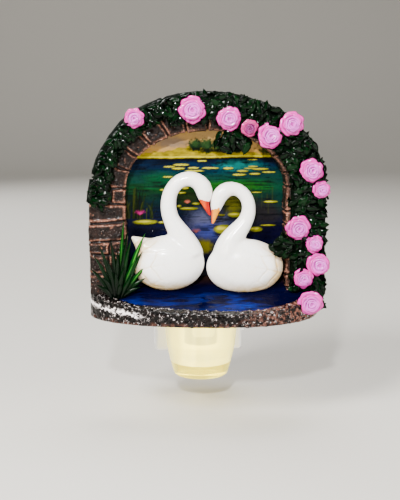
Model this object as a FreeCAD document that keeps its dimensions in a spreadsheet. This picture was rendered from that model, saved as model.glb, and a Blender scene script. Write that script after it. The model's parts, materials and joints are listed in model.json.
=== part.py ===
"""Plug-in night light: two resin swans on a pond under a stone arch with roses, on a plug-in lamp base.

Frame: +X right, +Z up, the front faces -Y. The origin is the centre between the plug blades, on the
plug face that lies against the wall plate. Millimetres.
"""

import FreeCAD, Part
import Sketcher

import math
import os
import re

from FreeCAD import Vector

# ---------------------------------------------------------------------------------------------
# Driving sizes
# ---------------------------------------------------------------------------------------------

SIZES = [
    # wall plug
    ("blade_spacing", 12.7, "between the two blades' middles"),
    ("blade_thickness", 1.5, "sheet of both blades"),
    ("blade_length", 16.5, "blades stand this far out of the plug face"),
    ("hot_blade_width", 6.35, "narrow blade"),
    ("neutral_blade_width", 7.94, "wide blade"),
    ("plug_neck_radius", 13.0, "round boss that turns in the rear cover"),
    ("plug_flange_radius", 15.5, "collar that keeps the boss in"),
    ("plug_flange_thickness", 2.0, "collar"),
    ("contact_thickness", 0.8, "brass feet of the blades and the slip ring's step"),
    ("slip_ring_inner", 9.8, "inside radius of the ring contact"),
    ("slip_ring_outer", 12.4, "outside radius of the ring contact"),
    ("slip_ring_thickness", 0.6, "ring contact"),
    ("stud_radius", 2.0, "centre contact"),
    ("stud_length", 2.4, "centre contact"),
    # white rear housing
    ("wall_gap", 0.6, "rear cover stands off the wall plate"),
    ("side_room", 3.2, "inside the shell, beside the plug's collar"),
    ("top_room", 1.7, "inside the shell, over the plug's collar"),
    ("bottom_room", 5.6, "inside the shell, under the lamp holder"),
    ("housing_front", 11.4, "front face, ahead of the plug face"),
    ("housing_wall", 1.8, "shell"),
    ("housing_round", 1.6, "rounded outside edges"),
    ("cover_thickness", 2.0, "rear cover"),
    ("cover_gap", 0.1, "rear cover inside the shell's rim"),
    ("turning_gap", 0.08, "radial clearance where one round piece turns in another"),
    ("end_gap", 0.15, "clearance along a turning or sliding piece"),
    ("screw_radius", 1.1, "cover screws' shanks"),
    ("screw_head_radius", 2.0, "cover screws' heads"),
    ("screw_length", 7.0, "cover screws' shanks"),
    ("post_radius", 2.5, "screw posts in the housing"),
    ("post_inset", 4.2, "post axis in from the shell's outside"),
    # translucent lamp cup
    ("cup_axis", 23.4, "lamp axis, ahead of the plug face"),
    ("cup_top_radius", 17.8, "outside at the top"),
    ("cup_mid_radius", 15.9, "outside at mid height"),
    ("cup_foot_radius", 14.1, "outside at the foot"),
    ("cup_lens_radius", 12.6, "clear foot's underside"),
    ("cup_top", 8.2, "top, below the plug axis"),
    ("cup_mid", 26.5, "mid height, below the plug axis"),
    ("cup_foot", 34.0, "foot of the milky part, below the plug axis"),
    ("lens_bottom", 40.5, "underside of the clear foot, below the plug axis"),
    ("cup_wall", 1.6, "cup's wall"),
    ("lens_wall", 2.4, "clear foot's wall"),
    ("lid_thickness", 1.8, "plate across the cup's top"),
    ("window_half", 6.5, "half width of the wire window between housing and cup"),
    ("window_height", 10.0, "wire window"),
    ("window_drop", 1.5, "wire window's foot, below the lamp holder"),
    # lamp holder and switch
    ("socket_radius", 7.6, "lamp holder's outside"),
    ("socket_flange_radius", 9.2, "lamp holder's collar on the lid"),
    ("socket_flange", 1.0, "lamp holder's collar"),
    ("socket_floor", 2.0, "lamp holder's floor"),
    ("switch_gap", 0.7, "between the plug's collar and the switch"),
    ("neutral_rise", 6.5, "neutral strap's lead into the lamp holder, above the holder's foot"),
    ("bulb_base_radius", 5.95, "candelabra base"),
    ("thread_gap", 0.07, "between the bulb's base and its screw shell"),
    ("shell_thickness", 0.5, "brass screw shell"),
    ("fit_gap", 0.05, "clearance of glued or pressed round pieces"),
    ("strap_thickness", 0.5, "brass straps"),
    ("strap_width", 4.0, "brass straps"),
    ("switch_width", 6.4, "switch body across"),
    ("switch_depth", 6.4, "switch body front to back"),
    ("switch_height", 9.4, "switch body"),
    ("switch_travel", 4.0, "slider's travel"),
    ("slider_height", 3.6, "slider along its travel"),
    ("slider_depth", 3.0, "slider front to back"),
    ("slider_rise", 0.8, "slider's lowest place, above the lamp holder's foot"),
    ("slider_stand_out", 1.6, "thumb pad outside the housing"),
    # bulb
    ("bulb_radius", 10.8, "glass at its widest"),
    ("bulb_length", 39.0, "glass above its base"),
    ("bulb_base_length", 14.5, "metal base"),
    ("glass_thickness", 0.6, "bulb's glass"),
    # stone arch
    ("arch_width", 99.0, "outside of the pillars"),
    ("arch_crown", 88.0, "top of the arch above the plug axis"),
    ("pillar_width", 14.7, "each pillar"),
    ("crown_band", 14.5, "height of the band at the crown"),
    ("arch_spring", 48.5, "where both curves start, above the plug axis"),
    ("arch_foot", 3.4, "pillars' feet, above the plug axis"),
    ("arch_rear", 37.0, "rear face, ahead of the plug face"),
    ("arch_depth", 15.0, "front to back"),
    ("rebate_width", 2.0, "step that the scene panel sits in"),
    ("rebate_depth", 4.5, "step's depth"),
    ("panel_thickness", 1.5, "translucent scene panel"),
    ("panel_gap", 0.1, "panel's edge in its step"),
    # rock base and pond
    ("base_front", 72.3, "front of the rock rim, ahead of the plug face"),
    ("base_bottom", 7.5, "flat underside, below the plug axis"),
    ("base_side", 44.0, "where the sides start to curve, ahead of the plug face"),
    ("base_skew", 12.0, "foremost point of the rim, right of the middle"),
    ("rim_width", 4.0, "rock rim around the pond"),
    ("rim_front_top", 2.0, "rim's top at the front, below the plug axis"),
    ("pond_front", 2.9, "water at the front, below the plug axis"),
    ("pond_rear", 9.0, "water at the panel, above the plug axis"),
    ("pond_thickness", 1.6, "poured water layer"),
    # foliage
    ("overhang_left", 0.6, "leaves stand out of the arch's outline on the left"),
    ("overhang_top", 1.2, "leaves stand out of the arch's outline at the crown"),
    ("overhang_right", 2.3, "leaves stand out of the arch's outline on the right"),
    ("leaf_thickness", 4.0, "leaves ahead of the arch's face"),
    ("rose_depth", 5.0, "roses ahead of the leaves"),
    # shade bracket
    ("bracket_thickness", 1.2, "steel plate"),
    ("bracket_width", 34.0, "plate"),
    ("bracket_top", 6.0, "plate's top, above the plug axis"),
    ("tongue_width", 10.0, "tongue that slides into the lid"),
    ("tongue_bottom", 20.0, "tongue's end, below the plug axis"),
    ("bracket_screw_spacing", 26.0, "between the two bracket screws"),
    ("bracket_screw_drop", 1.0, "bracket screws, below the plug axis"),
    ("bracket_head", 1.2, "bracket screws' heads"),
]

# Sizes that follow from the driving ones, as formulas in their words.
DERIVED = {
    "housing_width": "2 * (plug_flange_radius + side_room + housing_wall)",
    "housing_top": "plug_flange_radius + top_room + housing_wall",
    "housing_bottom": "socket_bottom + bottom_room + housing_wall",
    "socket_bottom": "plug_flange_radius + switch_height + switch_gap",
}

WORDS = {size[0] for size in SIZES}

doc = FreeCAD.newDocument("SwanNightLight")
sheet = doc.addObject("Spreadsheet::Sheet", "Sizes")
sheet.set("A1", "size")
sheet.set("B1", "mm")
sheet.set("C1", "what it is")
for row, (alias, millimetres, note) in enumerate(SIZES, 2):
    sheet.set(f"A{row}", alias)
    sheet.set(f"B{row}", str(millimetres))
    sheet.set(f"C{row}", note)
    sheet.setAlias(f"B{row}", alias)
doc.recompute()

NODES = {}


# ---------------------------------------------------------------------------------------------
# Helpers
# ---------------------------------------------------------------------------------------------

def cell(alias):
    """The value of one driving size."""
    return float(getattr(sheet, alias))


def linked(formula):
    """A formula in the sheet's words as an expression that other objects can hold."""

    def expanded(match):
        word = match[0]
        if word in DERIVED:
            return "(" + linked(DERIVED[word]) + ")"
        return "Sizes." + word if word in WORDS else word

    return re.sub(r"[a-z_]+", expanded, str(formula))


def value(formula):
    """What a formula in the sheet's words comes to now."""
    result = sheet.evalExpression(linked(formula))
    return float(getattr(result, "Value", result))


def bind(obj, **formulas):
    """Ties properties to the sheet. x, y and z are the object's place."""
    for name, formula in formulas.items():
        path = "Placement.Base." + name if name in "xyz" else name
        obj.setExpression(path, linked(formula))
    return obj


def node(obj, name):
    """Names a finished sub-part."""
    obj.Label = name
    NODES[name] = obj
    return obj


def box(label, length, width, height, x, y, z):
    """A block with its low corner at x, y, z."""
    obj = doc.addObject("Part::Box", label)
    return bind(obj, Length=length, Width=width, Height=height, x=x, y=y, z=z)


def round_bar(label, radius, height, x, y, z, along=None):
    """A cylinder from x, y, z upwards, or along another axis."""
    obj = doc.addObject("Part::Cylinder", label)
    if along is not None:
        obj.Placement.Rotation = FreeCAD.Rotation(Vector(0, 0, 1), along)
    return bind(obj, Radius=radius, Height=height, x=x, y=y, z=z)


def cut(label, base, *tools):
    """Base less each tool."""
    for number, tool in enumerate(tools, 1):
        result = doc.addObject("Part::Cut", f"{label}_cut{number}")
        result.Base = base
        result.Tool = tool
        base = result
    return base


def fuse(label, *pieces):
    """All the pieces as one."""
    result = doc.addObject("Part::MultiFuse", label + "_fused")
    result.Shapes = list(pieces)
    result.Refine = True
    return result


def body(label, x=0, y=0, z=0):
    """A PartDesign body, placed by the sheet."""
    return bind(doc.addObject("PartDesign::Body", label + "_body"), x=x, y=y, z=z)


def sketch_on(owner, role, name):
    """An empty sketch on one of the body's own planes."""
    plane = next(f for f in owner.Origin.OriginFeatures if f.Role == role)
    sketch = owner.newObject("Sketcher::SketchObject", name)
    sketch.AttachmentSupport = (plane, [""])
    sketch.MapMode = "FlatFace"
    return sketch


def outline(sketch, corners):
    """A closed polygon whose corners are tied to the sheet."""
    places = [Vector(value(x), value(y), 0) for x, y in corners]
    first = sketch.GeometryCount
    for start, end in zip(places, places[1:] + places[:1]):
        sketch.addGeometry(Part.LineSegment(start, end), False)
    count = len(corners)
    for index in range(count):
        after = first + (index + 1) % count
        sketch.addConstraint(Sketcher.Constraint("Coincident", first + index, 2, after, 1))
    for index, (x, y) in enumerate(corners):
        for kind, formula, now in (("DistanceX", x, places[index].x), ("DistanceY", y, places[index].y)):
            if str(formula) == "0":
                continue
            number = sketch.addConstraint(Sketcher.Constraint(kind, -1, 1, first + index, 1, now))
            sketch.setExpression(f"Constraints[{number}]", linked(formula))
        if str(x) == "0":
            sketch.addConstraint(Sketcher.Constraint("PointOnObject", first + index, 1, -2))
        if str(y) == "0":
            sketch.addConstraint(Sketcher.Constraint("PointOnObject", first + index, 1, -1))
    return sketch


def pad(owner, sketch, name, length, flip=False):
    """The sketch pulled to a length."""
    feature = owner.newObject("PartDesign::Pad", name)
    feature.Profile = sketch
    feature.Reversed = flip
    bind(feature, Length=length)
    sketch.Visibility = False
    return feature


def dress(owner, kind, name, chosen, **formulas):
    """A fillet or chamfer on the edges whose two ends, in the body's own frame, are chosen."""
    doc.recompute()
    before = owner.Tip
    edges = []
    for number, edge in enumerate(before.Shape.Edges, 1):
        ends = [vertex.Point for vertex in edge.Vertexes]
        if len(ends) == 2 and chosen(*ends):
            edges.append(f"Edge{number}")
    feature = owner.newObject("PartDesign::" + kind, name)
    feature.Base = (before, edges)
    return bind(feature, **formulas)


def spun(label, corners, x, y, z):
    """A turned piece about its own vertical axis. Corners are radius and height."""
    owner = body(label, x, y, z)
    sketch = outline(sketch_on(owner, "XZ_Plane", label + "_profile"), corners)
    feature = owner.newObject("PartDesign::Revolution", label + "_turned")
    feature.Profile = sketch
    feature.ReferenceAxis = (sketch, ["V_Axis"])
    feature.Angle = 360.0
    return owner


def shaped(label, shape):
    """A sculpted piece from its own shape, in place."""
    obj = doc.addObject("Part::Feature", label + "_shape")
    obj.Shape = shape
    obj.Placement = FreeCAD.Placement()
    return obj


# ---------------------------------------------------------------------------------------------
# Wall plug
# ---------------------------------------------------------------------------------------------

NECK_LENGTH = "(wall_gap + cover_thickness + end_gap)"
FLANGE_FRONT = "(wall_gap + cover_thickness + end_gap + plug_flange_thickness)"
CONTACT_FRONT = "(wall_gap + cover_thickness + end_gap + plug_flange_thickness + contact_thickness)"
TOWARDS_FRONT = Vector(0, -1, 0)
HOT_SIDE = -1
NEUTRAL_SIDE = 1


def blade(name, side, width, foot_from, foot_to):
    """A flat blade through the plug with a foot that leads sideways to its contact."""
    half = f"{width} / 2"
    owner = body(name, x=f"{side} * blade_spacing / 2", y="blade_length")
    section = outline(sketch_on(owner, "XZ_Plane", name + "_section"), [
        ("-blade_thickness / 2", "-" + half), ("blade_thickness / 2", "-" + half),
        ("blade_thickness / 2", half), ("-blade_thickness / 2", half),
    ])
    pad(owner, section, name + "_strip", "blade_length + " + CONTACT_FRONT)
    dress(
        owner, "Chamfer", name + "_tip", lambda a, b: min(a.y, b.y) > -0.01 and abs(a.x - b.x) < 0.01,
        Size="blade_thickness * 0.4",
    )
    foot = box(
        name + "_foot", f"{foot_to} - {foot_from}", "contact_thickness", "strap_width",
        foot_from, "-" + CONTACT_FRONT, "-strap_width / 2",
    )
    return node(fuse(name, owner, foot), name)


def plug():
    """The round plug with its blades, centre contact and ring contact."""
    axis = dict(x="0", y="0", z="0", along=TOWARDS_FRONT)
    neck = round_bar("plug_neck", "plug_neck_radius", NECK_LENGTH, **axis)
    flange = round_bar(
        "plug_flange", "plug_flange_radius", "plug_flange_thickness", "0", "-" + NECK_LENGTH, "0",
        along=TOWARDS_FRONT,
    )
    step = round_bar(
        "plug_step", "slip_ring_outer", "contact_thickness", "0", "-" + FLANGE_FRONT, "0",
        along=TOWARDS_FRONT,
    )
    step_bore = round_bar(
        "plug_step_bore", "slip_ring_inner", "contact_thickness + 1", "0", "-" + FLANGE_FRONT, "0",
        along=TOWARDS_FRONT,
    )
    solid = fuse("plug_solid", neck, flange, cut("plug_step_ring", step, step_bore))
    slots = []
    for name, side, width in (
        ("hot", HOT_SIDE, "hot_blade_width"),
        ("neutral", NEUTRAL_SIDE, "neutral_blade_width"),
    ):
        slots.append(box(
            f"plug_slot_{name}", "blade_thickness", CONTACT_FRONT + " + 2", width,
            f"{side} * blade_spacing / 2 - blade_thickness / 2", f"-{CONTACT_FRONT} - 1", f"-{width} / 2",
        ))
    foot_groove = box(
        "plug_foot_groove", "plug_flange_radius", "contact_thickness + 1", "strap_width",
        f"{NEUTRAL_SIDE} * blade_spacing / 2", f"-{CONTACT_FRONT} - 1", "-strap_width / 2",
    )
    node(cut("plug_disc", solid, *slots, foot_groove), "plug_disc")
    blade("blade_hot", HOT_SIDE, "hot_blade_width", "-blade_spacing / 2", "stud_radius")
    blade("blade_neutral", NEUTRAL_SIDE, "neutral_blade_width", "blade_spacing / 2", "slip_ring_outer - 0.3")
    ring = round_bar(
        "slip_ring_outside", "slip_ring_outer", "slip_ring_thickness", "0", "-" + CONTACT_FRONT, "0",
        along=TOWARDS_FRONT,
    )
    hole = round_bar(
        "slip_ring_hole", "slip_ring_inner", "slip_ring_thickness + 2", "0", f"1 - {CONTACT_FRONT}", "0",
        along=TOWARDS_FRONT,
    )
    node(cut("slip_ring", ring, hole), "slip_ring")
    node(round_bar(
        "centre_stud_bar", "stud_radius", "stud_length", "0", "-" + CONTACT_FRONT, "0", along=TOWARDS_FRONT,
    ), "centre_stud")


# ---------------------------------------------------------------------------------------------
# Rear housing
# ---------------------------------------------------------------------------------------------

COVER_FRONT = "(wall_gap + cover_thickness)"
HOUSING_DEPTH = "(housing_front - wall_gap)"
SOCKET_BOTTOM = "socket_bottom"
SWITCH_TOP = f"(switch_height - {SOCKET_BOTTOM})"
SWITCH_RIGHT = "(housing_width / 2 - housing_wall - 0.1)"
SWITCH_MIDDLE = "((wall_gap + cover_thickness + housing_front - housing_wall) / 2)"
SLIDER_LOW = f"(slider_rise - {SOCKET_BOTTOM})"
WINDOW_BOTTOM = f"(-window_drop - {SOCKET_BOTTOM})"


def screw_places():
    """The four cover screws as formulas for x and z."""
    across = "(housing_width / 2 - post_inset)"
    top = "(housing_top - post_inset)"
    bottom = "(post_inset - housing_bottom)"
    return [(f"{side} * {across}", level) for side in (-1, 1) for level in (top, bottom)]


def housing_block(label, inset, rear, front):
    """A block inset from the housing's sides, between two distances ahead of the plug face."""
    return box(
        label, f"housing_width - 2 * {inset}", f"({front}) - ({rear})",
        f"housing_top + housing_bottom - 2 * {inset}",
        f"{inset} - housing_width / 2", f"-{front}", f"{inset} - housing_bottom",
    )


def rear_housing():
    """The white shell, open to the wall, with posts for the cover screws."""
    owner = body("rear_housing")
    sketch = sketch_on(owner, "XZ_Plane", "housing_section")
    outline(sketch, [
        ("-housing_width / 2", "-housing_bottom"), ("housing_width / 2", "-housing_bottom"),
        ("housing_width / 2", "housing_top"), ("-housing_width / 2", "housing_top"),
    ])
    sketch.setExpression("AttachmentOffset.Base.z", linked("wall_gap"))
    pad(owner, sketch, "housing_pad", HOUSING_DEPTH)
    rim = -cell("wall_gap")
    dress(
        owner, "Fillet", "housing_rounds", lambda a, b: min(a.y, b.y) < rim - 0.01, Radius="housing_round",
    )
    cavity = housing_block("housing_cavity", "housing_wall", "wall_gap - 1", "(housing_front - housing_wall)")
    window = box(
        "housing_window", "2 * window_half", "housing_wall + 2", "window_height",
        "-window_half", "-housing_front - 1", WINDOW_BOTTOM,
    )
    slot = box(
        "switch_slot", "housing_wall + 2", "slider_depth + 2 * end_gap",
        "slider_height + switch_travel + 2 * end_gap", "housing_width / 2 - housing_wall - 1",
        f"-{SWITCH_MIDDLE} - slider_depth / 2 - end_gap", f"{SLIDER_LOW} - end_gap",
    )
    shell = cut("housing_shell", owner, cavity, window, slot)
    posts = []
    holes = []
    for number, (x, z) in enumerate(screw_places(), 1):
        posts.append(round_bar(
            f"post_{number}", "post_radius", f"housing_front - housing_wall - {COVER_FRONT}",
            x, "-" + COVER_FRONT, z, along=TOWARDS_FRONT,
        ))
        holes.append(round_bar(
            f"post_hole_{number}", "screw_radius + fit_gap", "screw_length", x, "-" + COVER_FRONT, z,
            along=TOWARDS_FRONT,
        ))
    node(cut("rear_housing", fuse("housing_posts", shell, *posts), *holes), "rear_housing")


def rear_cover():
    """The plate that closes the housing and holds the turning plug."""
    plate = housing_block("cover_plate", "(housing_wall + cover_gap)", "wall_gap", COVER_FRONT)
    bore = round_bar(
        "cover_bore", "plug_neck_radius + turning_gap", "wall_gap + cover_thickness + 1", "0", "0", "0",
        along=TOWARDS_FRONT,
    )
    holes = []
    screws = []
    for number, (x, z) in enumerate(screw_places(), 1):
        holes.append(round_bar(
            f"cover_hole_{number}", "screw_radius + fit_gap", COVER_FRONT + " + 1", x, "0", z,
            along=TOWARDS_FRONT,
        ))
        holes.append(round_bar(
            f"cover_recess_{number}", "screw_head_radius + fit_gap", "wall_gap + cover_thickness / 2",
            x, "0", z, along=TOWARDS_FRONT,
        ))
        head = round_bar(
            f"screw_head_{number}", "screw_head_radius", "cover_thickness / 2 - 0.1", x, "-wall_gap - 0.1", z,
            along=TOWARDS_FRONT,
        )
        shank = round_bar(
            f"screw_shank_{number}", "screw_radius", "cover_thickness / 2 + screw_length - 1", x,
            "-wall_gap - cover_thickness / 2", z, along=TOWARDS_FRONT,
        )
        cross = [
            box(
                f"screw_cross_{number}_{turn}", "0.6 + 2.2 * " + turn, "0.6", "2.8 - 2.2 * " + turn,
                f"{x} - 0.3 - 1.1 * {turn}", "-wall_gap - 0.6", f"{z} - 1.4 + 1.1 * {turn}",
            )
            for turn in ("0", "1")
        ]
        screws.append(cut(f"screw_{number}", fuse(f"screw_solid_{number}", head, shank), *cross))
    node(cut("rear_cover", plate, bore, *holes), "rear_cover")
    group = doc.addObject("Part::Compound", "cover_screw_group")
    group.Links = screws
    node(group, "cover_screws")


def strap_run(label, x, y, z, length, depth, height):
    """One straight run of a brass strap."""
    return box(label, length, depth, height, x, y, z)


def straps():
    """The brass straps that lead from the plug's contacts to the switch and the lamp holder."""
    stud_end = CONTACT_FRONT + " + stud_length + 0.1"
    hot_y = f"-({stud_end}) - strap_thickness"
    switch_x = f"({SWITCH_RIGHT} - switch_width / 2 - strap_width / 2)"
    node(fuse(
        "hot_strap_rear",
        strap_run("hot_rear_across", "-strap_width / 2", hot_y, "-strap_width / 2",
                  f"{switch_x} + 1.5 * strap_width", "strap_thickness", "strap_width"),
        strap_run("hot_rear_down", switch_x, hot_y, SWITCH_TOP,
                  "strap_width", "strap_thickness", f"strap_width / 2 - {SWITCH_TOP}"),
    ), "hot_strap_rear")
    floor = f"(-{SOCKET_BOTTOM} - strap_thickness)"
    node(fuse(
        "hot_strap_front",
        strap_run("hot_front_side", "-strap_width / 2", f"-{SWITCH_MIDDLE} - strap_width / 2", floor,
                  f"{switch_x} + 1.5 * strap_width", "strap_width", "strap_thickness"),
        strap_run("hot_front_forward", "-strap_width / 2", "-cup_axis - strap_width / 2", floor,
                  "strap_width", f"cup_axis - {SWITCH_MIDDLE} + strap_width", "strap_thickness"),
    ), "hot_strap_front")
    ring_y = f"-{CONTACT_FRONT} - slip_ring_thickness - 0.1 - strap_thickness"
    ring_x = "(-(slip_ring_inner + slip_ring_outer) / 2 - strap_width / 2)"
    turn_z = f"(neutral_rise - {SOCKET_BOTTOM})"
    node(fuse(
        "neutral_strap",
        strap_run("neutral_down", ring_x, ring_y, turn_z, "strap_width", "strap_thickness",
                  f"strap_width / 2 - {turn_z}"),
        strap_run("neutral_across", ring_x, ring_y, turn_z, f"strap_width / 2 - {ring_x}",
                  "strap_thickness", "strap_width"),
        strap_run("neutral_forward", "-strap_width / 2",
                  "-cup_axis + bulb_base_radius + thread_gap + shell_thickness + 0.15", turn_z, "strap_width",
                  f"cup_axis - bulb_base_radius - thread_gap - shell_thickness - 0.15 + ({ring_y})",
                  "strap_thickness"),
    ), "neutral_strap")


def switch():
    """The slide switch in the housing's right side."""
    rear = f"-{SWITCH_MIDDLE} - switch_depth / 2"
    left = f"{SWITCH_RIGHT} - switch_width"
    solid = box(
        "switch_block", "switch_width", "switch_depth", "switch_height", left, rear,
        f"{SWITCH_TOP} - switch_height",
    )
    recess = box(
        "switch_recess", "switch_width / 2 + 1", "slider_depth + 2 * end_gap",
        "slider_height + switch_travel + 2 * end_gap", f"{SWITCH_RIGHT} - switch_width / 2",
        f"-{SWITCH_MIDDLE} - slider_depth / 2 - end_gap", f"{SLIDER_LOW} - end_gap",
    )
    node(cut("switch_body", solid, recess), "switch_body")
    stem_left = f"{SWITCH_RIGHT} - switch_width / 2 + end_gap"
    pad_end = "(housing_width / 2 + slider_stand_out)"
    stem = box(
        "slider_stem", f"{pad_end} - ({stem_left})", "slider_depth", "slider_height",
        stem_left, f"-{SWITCH_MIDDLE} - slider_depth / 2", SLIDER_LOW,
    )
    grooves = [
        box(
            f"slider_groove_{number}", "1", "slider_depth + 2", "slider_height / 9", f"{pad_end} - 0.5",
            f"-{SWITCH_MIDDLE} - slider_depth / 2 - 1", f"{SLIDER_LOW} + slider_height * {number} / 9",
        )
        for number in (1, 3, 5, 7)
    ]
    node(cut("switch_slider", stem, *grooves), "switch_slider")


# ---------------------------------------------------------------------------------------------
# Lamp cup, lamp holder and bulb
# ---------------------------------------------------------------------------------------------

def cup_profile(inset):
    """The cup's side from top to foot as radius and height, moved in by a wall."""
    return [
        (f"cup_top_radius - {inset}", "-cup_top"), (f"cup_mid_radius - {inset}", "-cup_mid"),
        (f"cup_foot_radius - {inset}", "-cup_foot"),
    ]


def ahead_of(label, distance):
    """A large block ahead of a plane at that distance from the plug face."""
    return box(label, "200", "200", "200", "-100", f"-200 - ({distance})", "-100")


def kept_ahead(label, obj, distance):
    """The part of a piece that lies ahead of a plane."""
    result = doc.addObject("Part::Common", label + "_ahead")
    result.Base = obj
    result.Tool = ahead_of(label + "_room", distance)
    return result


def lamp_cup():
    """The milky cup on the housing's front, with its clear foot and its lid."""
    place = dict(x=0, y="-cup_axis", z=0)
    back = "housing_front"
    outside = spun("cup_outside", [("0", "-cup_top")] + cup_profile("0") + [("0", "-cup_foot")], **place)
    room = spun(
        "cup_room", [("0", "1 - cup_top"), ("cup_top_radius - cup_wall", "1 - cup_top")]
        + cup_profile("cup_wall") + [("cup_foot_radius - cup_wall", "-cup_foot - 1"), ("0", "-cup_foot - 1")],
        **place,
    )
    window = box(
        "cup_window", "2 * window_half", "cup_wall + 2", "window_height",
        "-window_half", "-housing_front - cup_wall - 1", WINDOW_BOTTOM,
    )
    node(cut(
        "lamp_cup", kept_ahead("cup_outside", outside, back),
        kept_ahead("cup_room", room, back + " + cup_wall"), window,
    ), "lamp_cup")
    spigot = "cup_foot_radius - cup_wall - fit_gap"
    foot = spun("lens_outside", [
        ("0", "2 - cup_foot"), (spigot, "2 - cup_foot"), (spigot, "-cup_foot"),
        ("cup_foot_radius", "-cup_foot"), ("cup_lens_radius", "0.9 - lens_bottom"),
        ("cup_lens_radius - 0.9", "-lens_bottom"), ("0", "-lens_bottom"),
    ], **place)
    hollow = spun("lens_room", [
        ("0", "3 - cup_foot"), ("cup_foot_radius - cup_wall - lens_wall", "3 - cup_foot"),
        ("cup_lens_radius - lens_wall", "lens_wall - lens_bottom"), ("0", "lens_wall - lens_bottom"),
    ], **place)
    upper = box(
        "lens_spigot_back", "80", "cup_wall + fit_gap", "20", "-40",
        "-housing_front - cup_wall - fit_gap", "-cup_foot",
    )
    node(cut(
        "cup_lens", kept_ahead("lens_outside", foot, back),
        kept_ahead("lens_room", hollow, back + " + cup_wall + lens_wall"), upper,
    ), "cup_lens")
    seat = "cup_top_radius - cup_wall - fit_gap"
    plate = spun("lid_plate", [
        ("0", "-cup_top"), (seat, "-cup_top"),
        ("cup_top_radius - (cup_top_radius - cup_mid_radius) * lid_thickness / (cup_mid - cup_top)"
         " - cup_wall - fit_gap", "-cup_top - lid_thickness"),
        ("0", "-cup_top - lid_thickness"),
    ], **place)
    bore = round_bar(
        "lid_bore", "socket_radius + fit_gap", "lid_thickness + 2", "0", "-cup_axis",
        "-cup_top - lid_thickness - 1",
    )
    tongue_slot = box(
        "lid_slot", "tongue_width + 2 * end_gap", "bracket_thickness + 2 * end_gap", "lid_thickness + 2",
        "-tongue_width / 2 - end_gap", "-arch_rear - end_gap", "-cup_top - lid_thickness - 1",
    )
    node(cut(
        "cup_lid", kept_ahead("lid_plate", plate, back + " + cup_wall + fit_gap"), bore, tongue_slot,
    ), "cup_lid")


def lamp_holder():
    """The insulating lamp holder with its screw shell and bottom contact."""
    place = dict(x=0, y="-cup_axis", z=0)
    shell_outer = "bulb_base_radius + thread_gap + shell_thickness"
    solid = spun("socket_solid", [
        ("stud_radius / 2", "-" + SOCKET_BOTTOM), ("socket_radius", "-" + SOCKET_BOTTOM),
        ("socket_radius", "-cup_top"), ("socket_flange_radius", "-cup_top"),
        ("socket_flange_radius", "socket_flange - cup_top"),
        (shell_outer + " + fit_gap", "socket_flange - cup_top"),
        (shell_outer + " + fit_gap", "socket_floor - " + SOCKET_BOTTOM),
        ("stud_radius / 2", "socket_floor - " + SOCKET_BOTTOM),
    ], **place)
    notch = box(
        "socket_notch", "strap_width + 0.2", "socket_radius", "strap_thickness + 0.2",
        "-strap_width / 2 - 0.1", "-cup_axis", "neutral_rise - 0.1 - " + SOCKET_BOTTOM,
    )
    node(cut("socket_body", solid, notch), "socket_body")
    node(spun("screw_shell", [
        ("bulb_base_radius + thread_gap", "socket_floor - " + SOCKET_BOTTOM),
        (shell_outer, "socket_floor - " + SOCKET_BOTTOM), (shell_outer, "socket_flange - cup_top"),
        ("bulb_base_radius + thread_gap", "socket_flange - cup_top"),
    ], **place), "screw_shell")
    node(spun("centre_contact", [
        ("0", "-" + SOCKET_BOTTOM), ("stud_radius / 2", "-" + SOCKET_BOTTOM),
        ("stud_radius / 2", "socket_floor - " + SOCKET_BOTTOM),
        ("stud_radius", "socket_floor - " + SOCKET_BOTTOM),
        ("stud_radius * 0.7", "socket_floor + 0.6 - " + SOCKET_BOTTOM),
        ("0", "socket_floor + 0.6 - " + SOCKET_BOTTOM),
    ], **place), "centre_contact")


BULB_FOOT = f"(socket_floor + 0.75 - {SOCKET_BOTTOM})"
BASE_FOOT = f"(socket_floor + 2.75 - {SOCKET_BOTTOM})"
LEAD_HEIGHT = 12.0
LEAD_SPREAD = 4.0
GLASS_FOOT = f"(socket_floor + 2.75 + bulb_base_length - {SOCKET_BOTTOM})"


def glass_corners(inset):
    """The bulb's outline as radius and height, tied to its length and widest radius."""
    shares = [(0.50, 0.0), (0.56, 0.08), (0.82, 0.20), (0.97, 0.34), (1.0, 0.46), (0.96, 0.58),
              (0.84, 0.72), (0.62, 0.85), (0.36, 0.94), (0.16, 0.985)]
    side = [
        (f"bulb_radius * {wide} - {inset}", f"{GLASS_FOOT} + {inset} + (bulb_length - 2 * {inset}) * {high}")
        for wide, high in shares
    ]
    return [("0", side[0][1])] + side + [("0", f"{GLASS_FOOT} + bulb_length - {inset}")]


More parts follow.
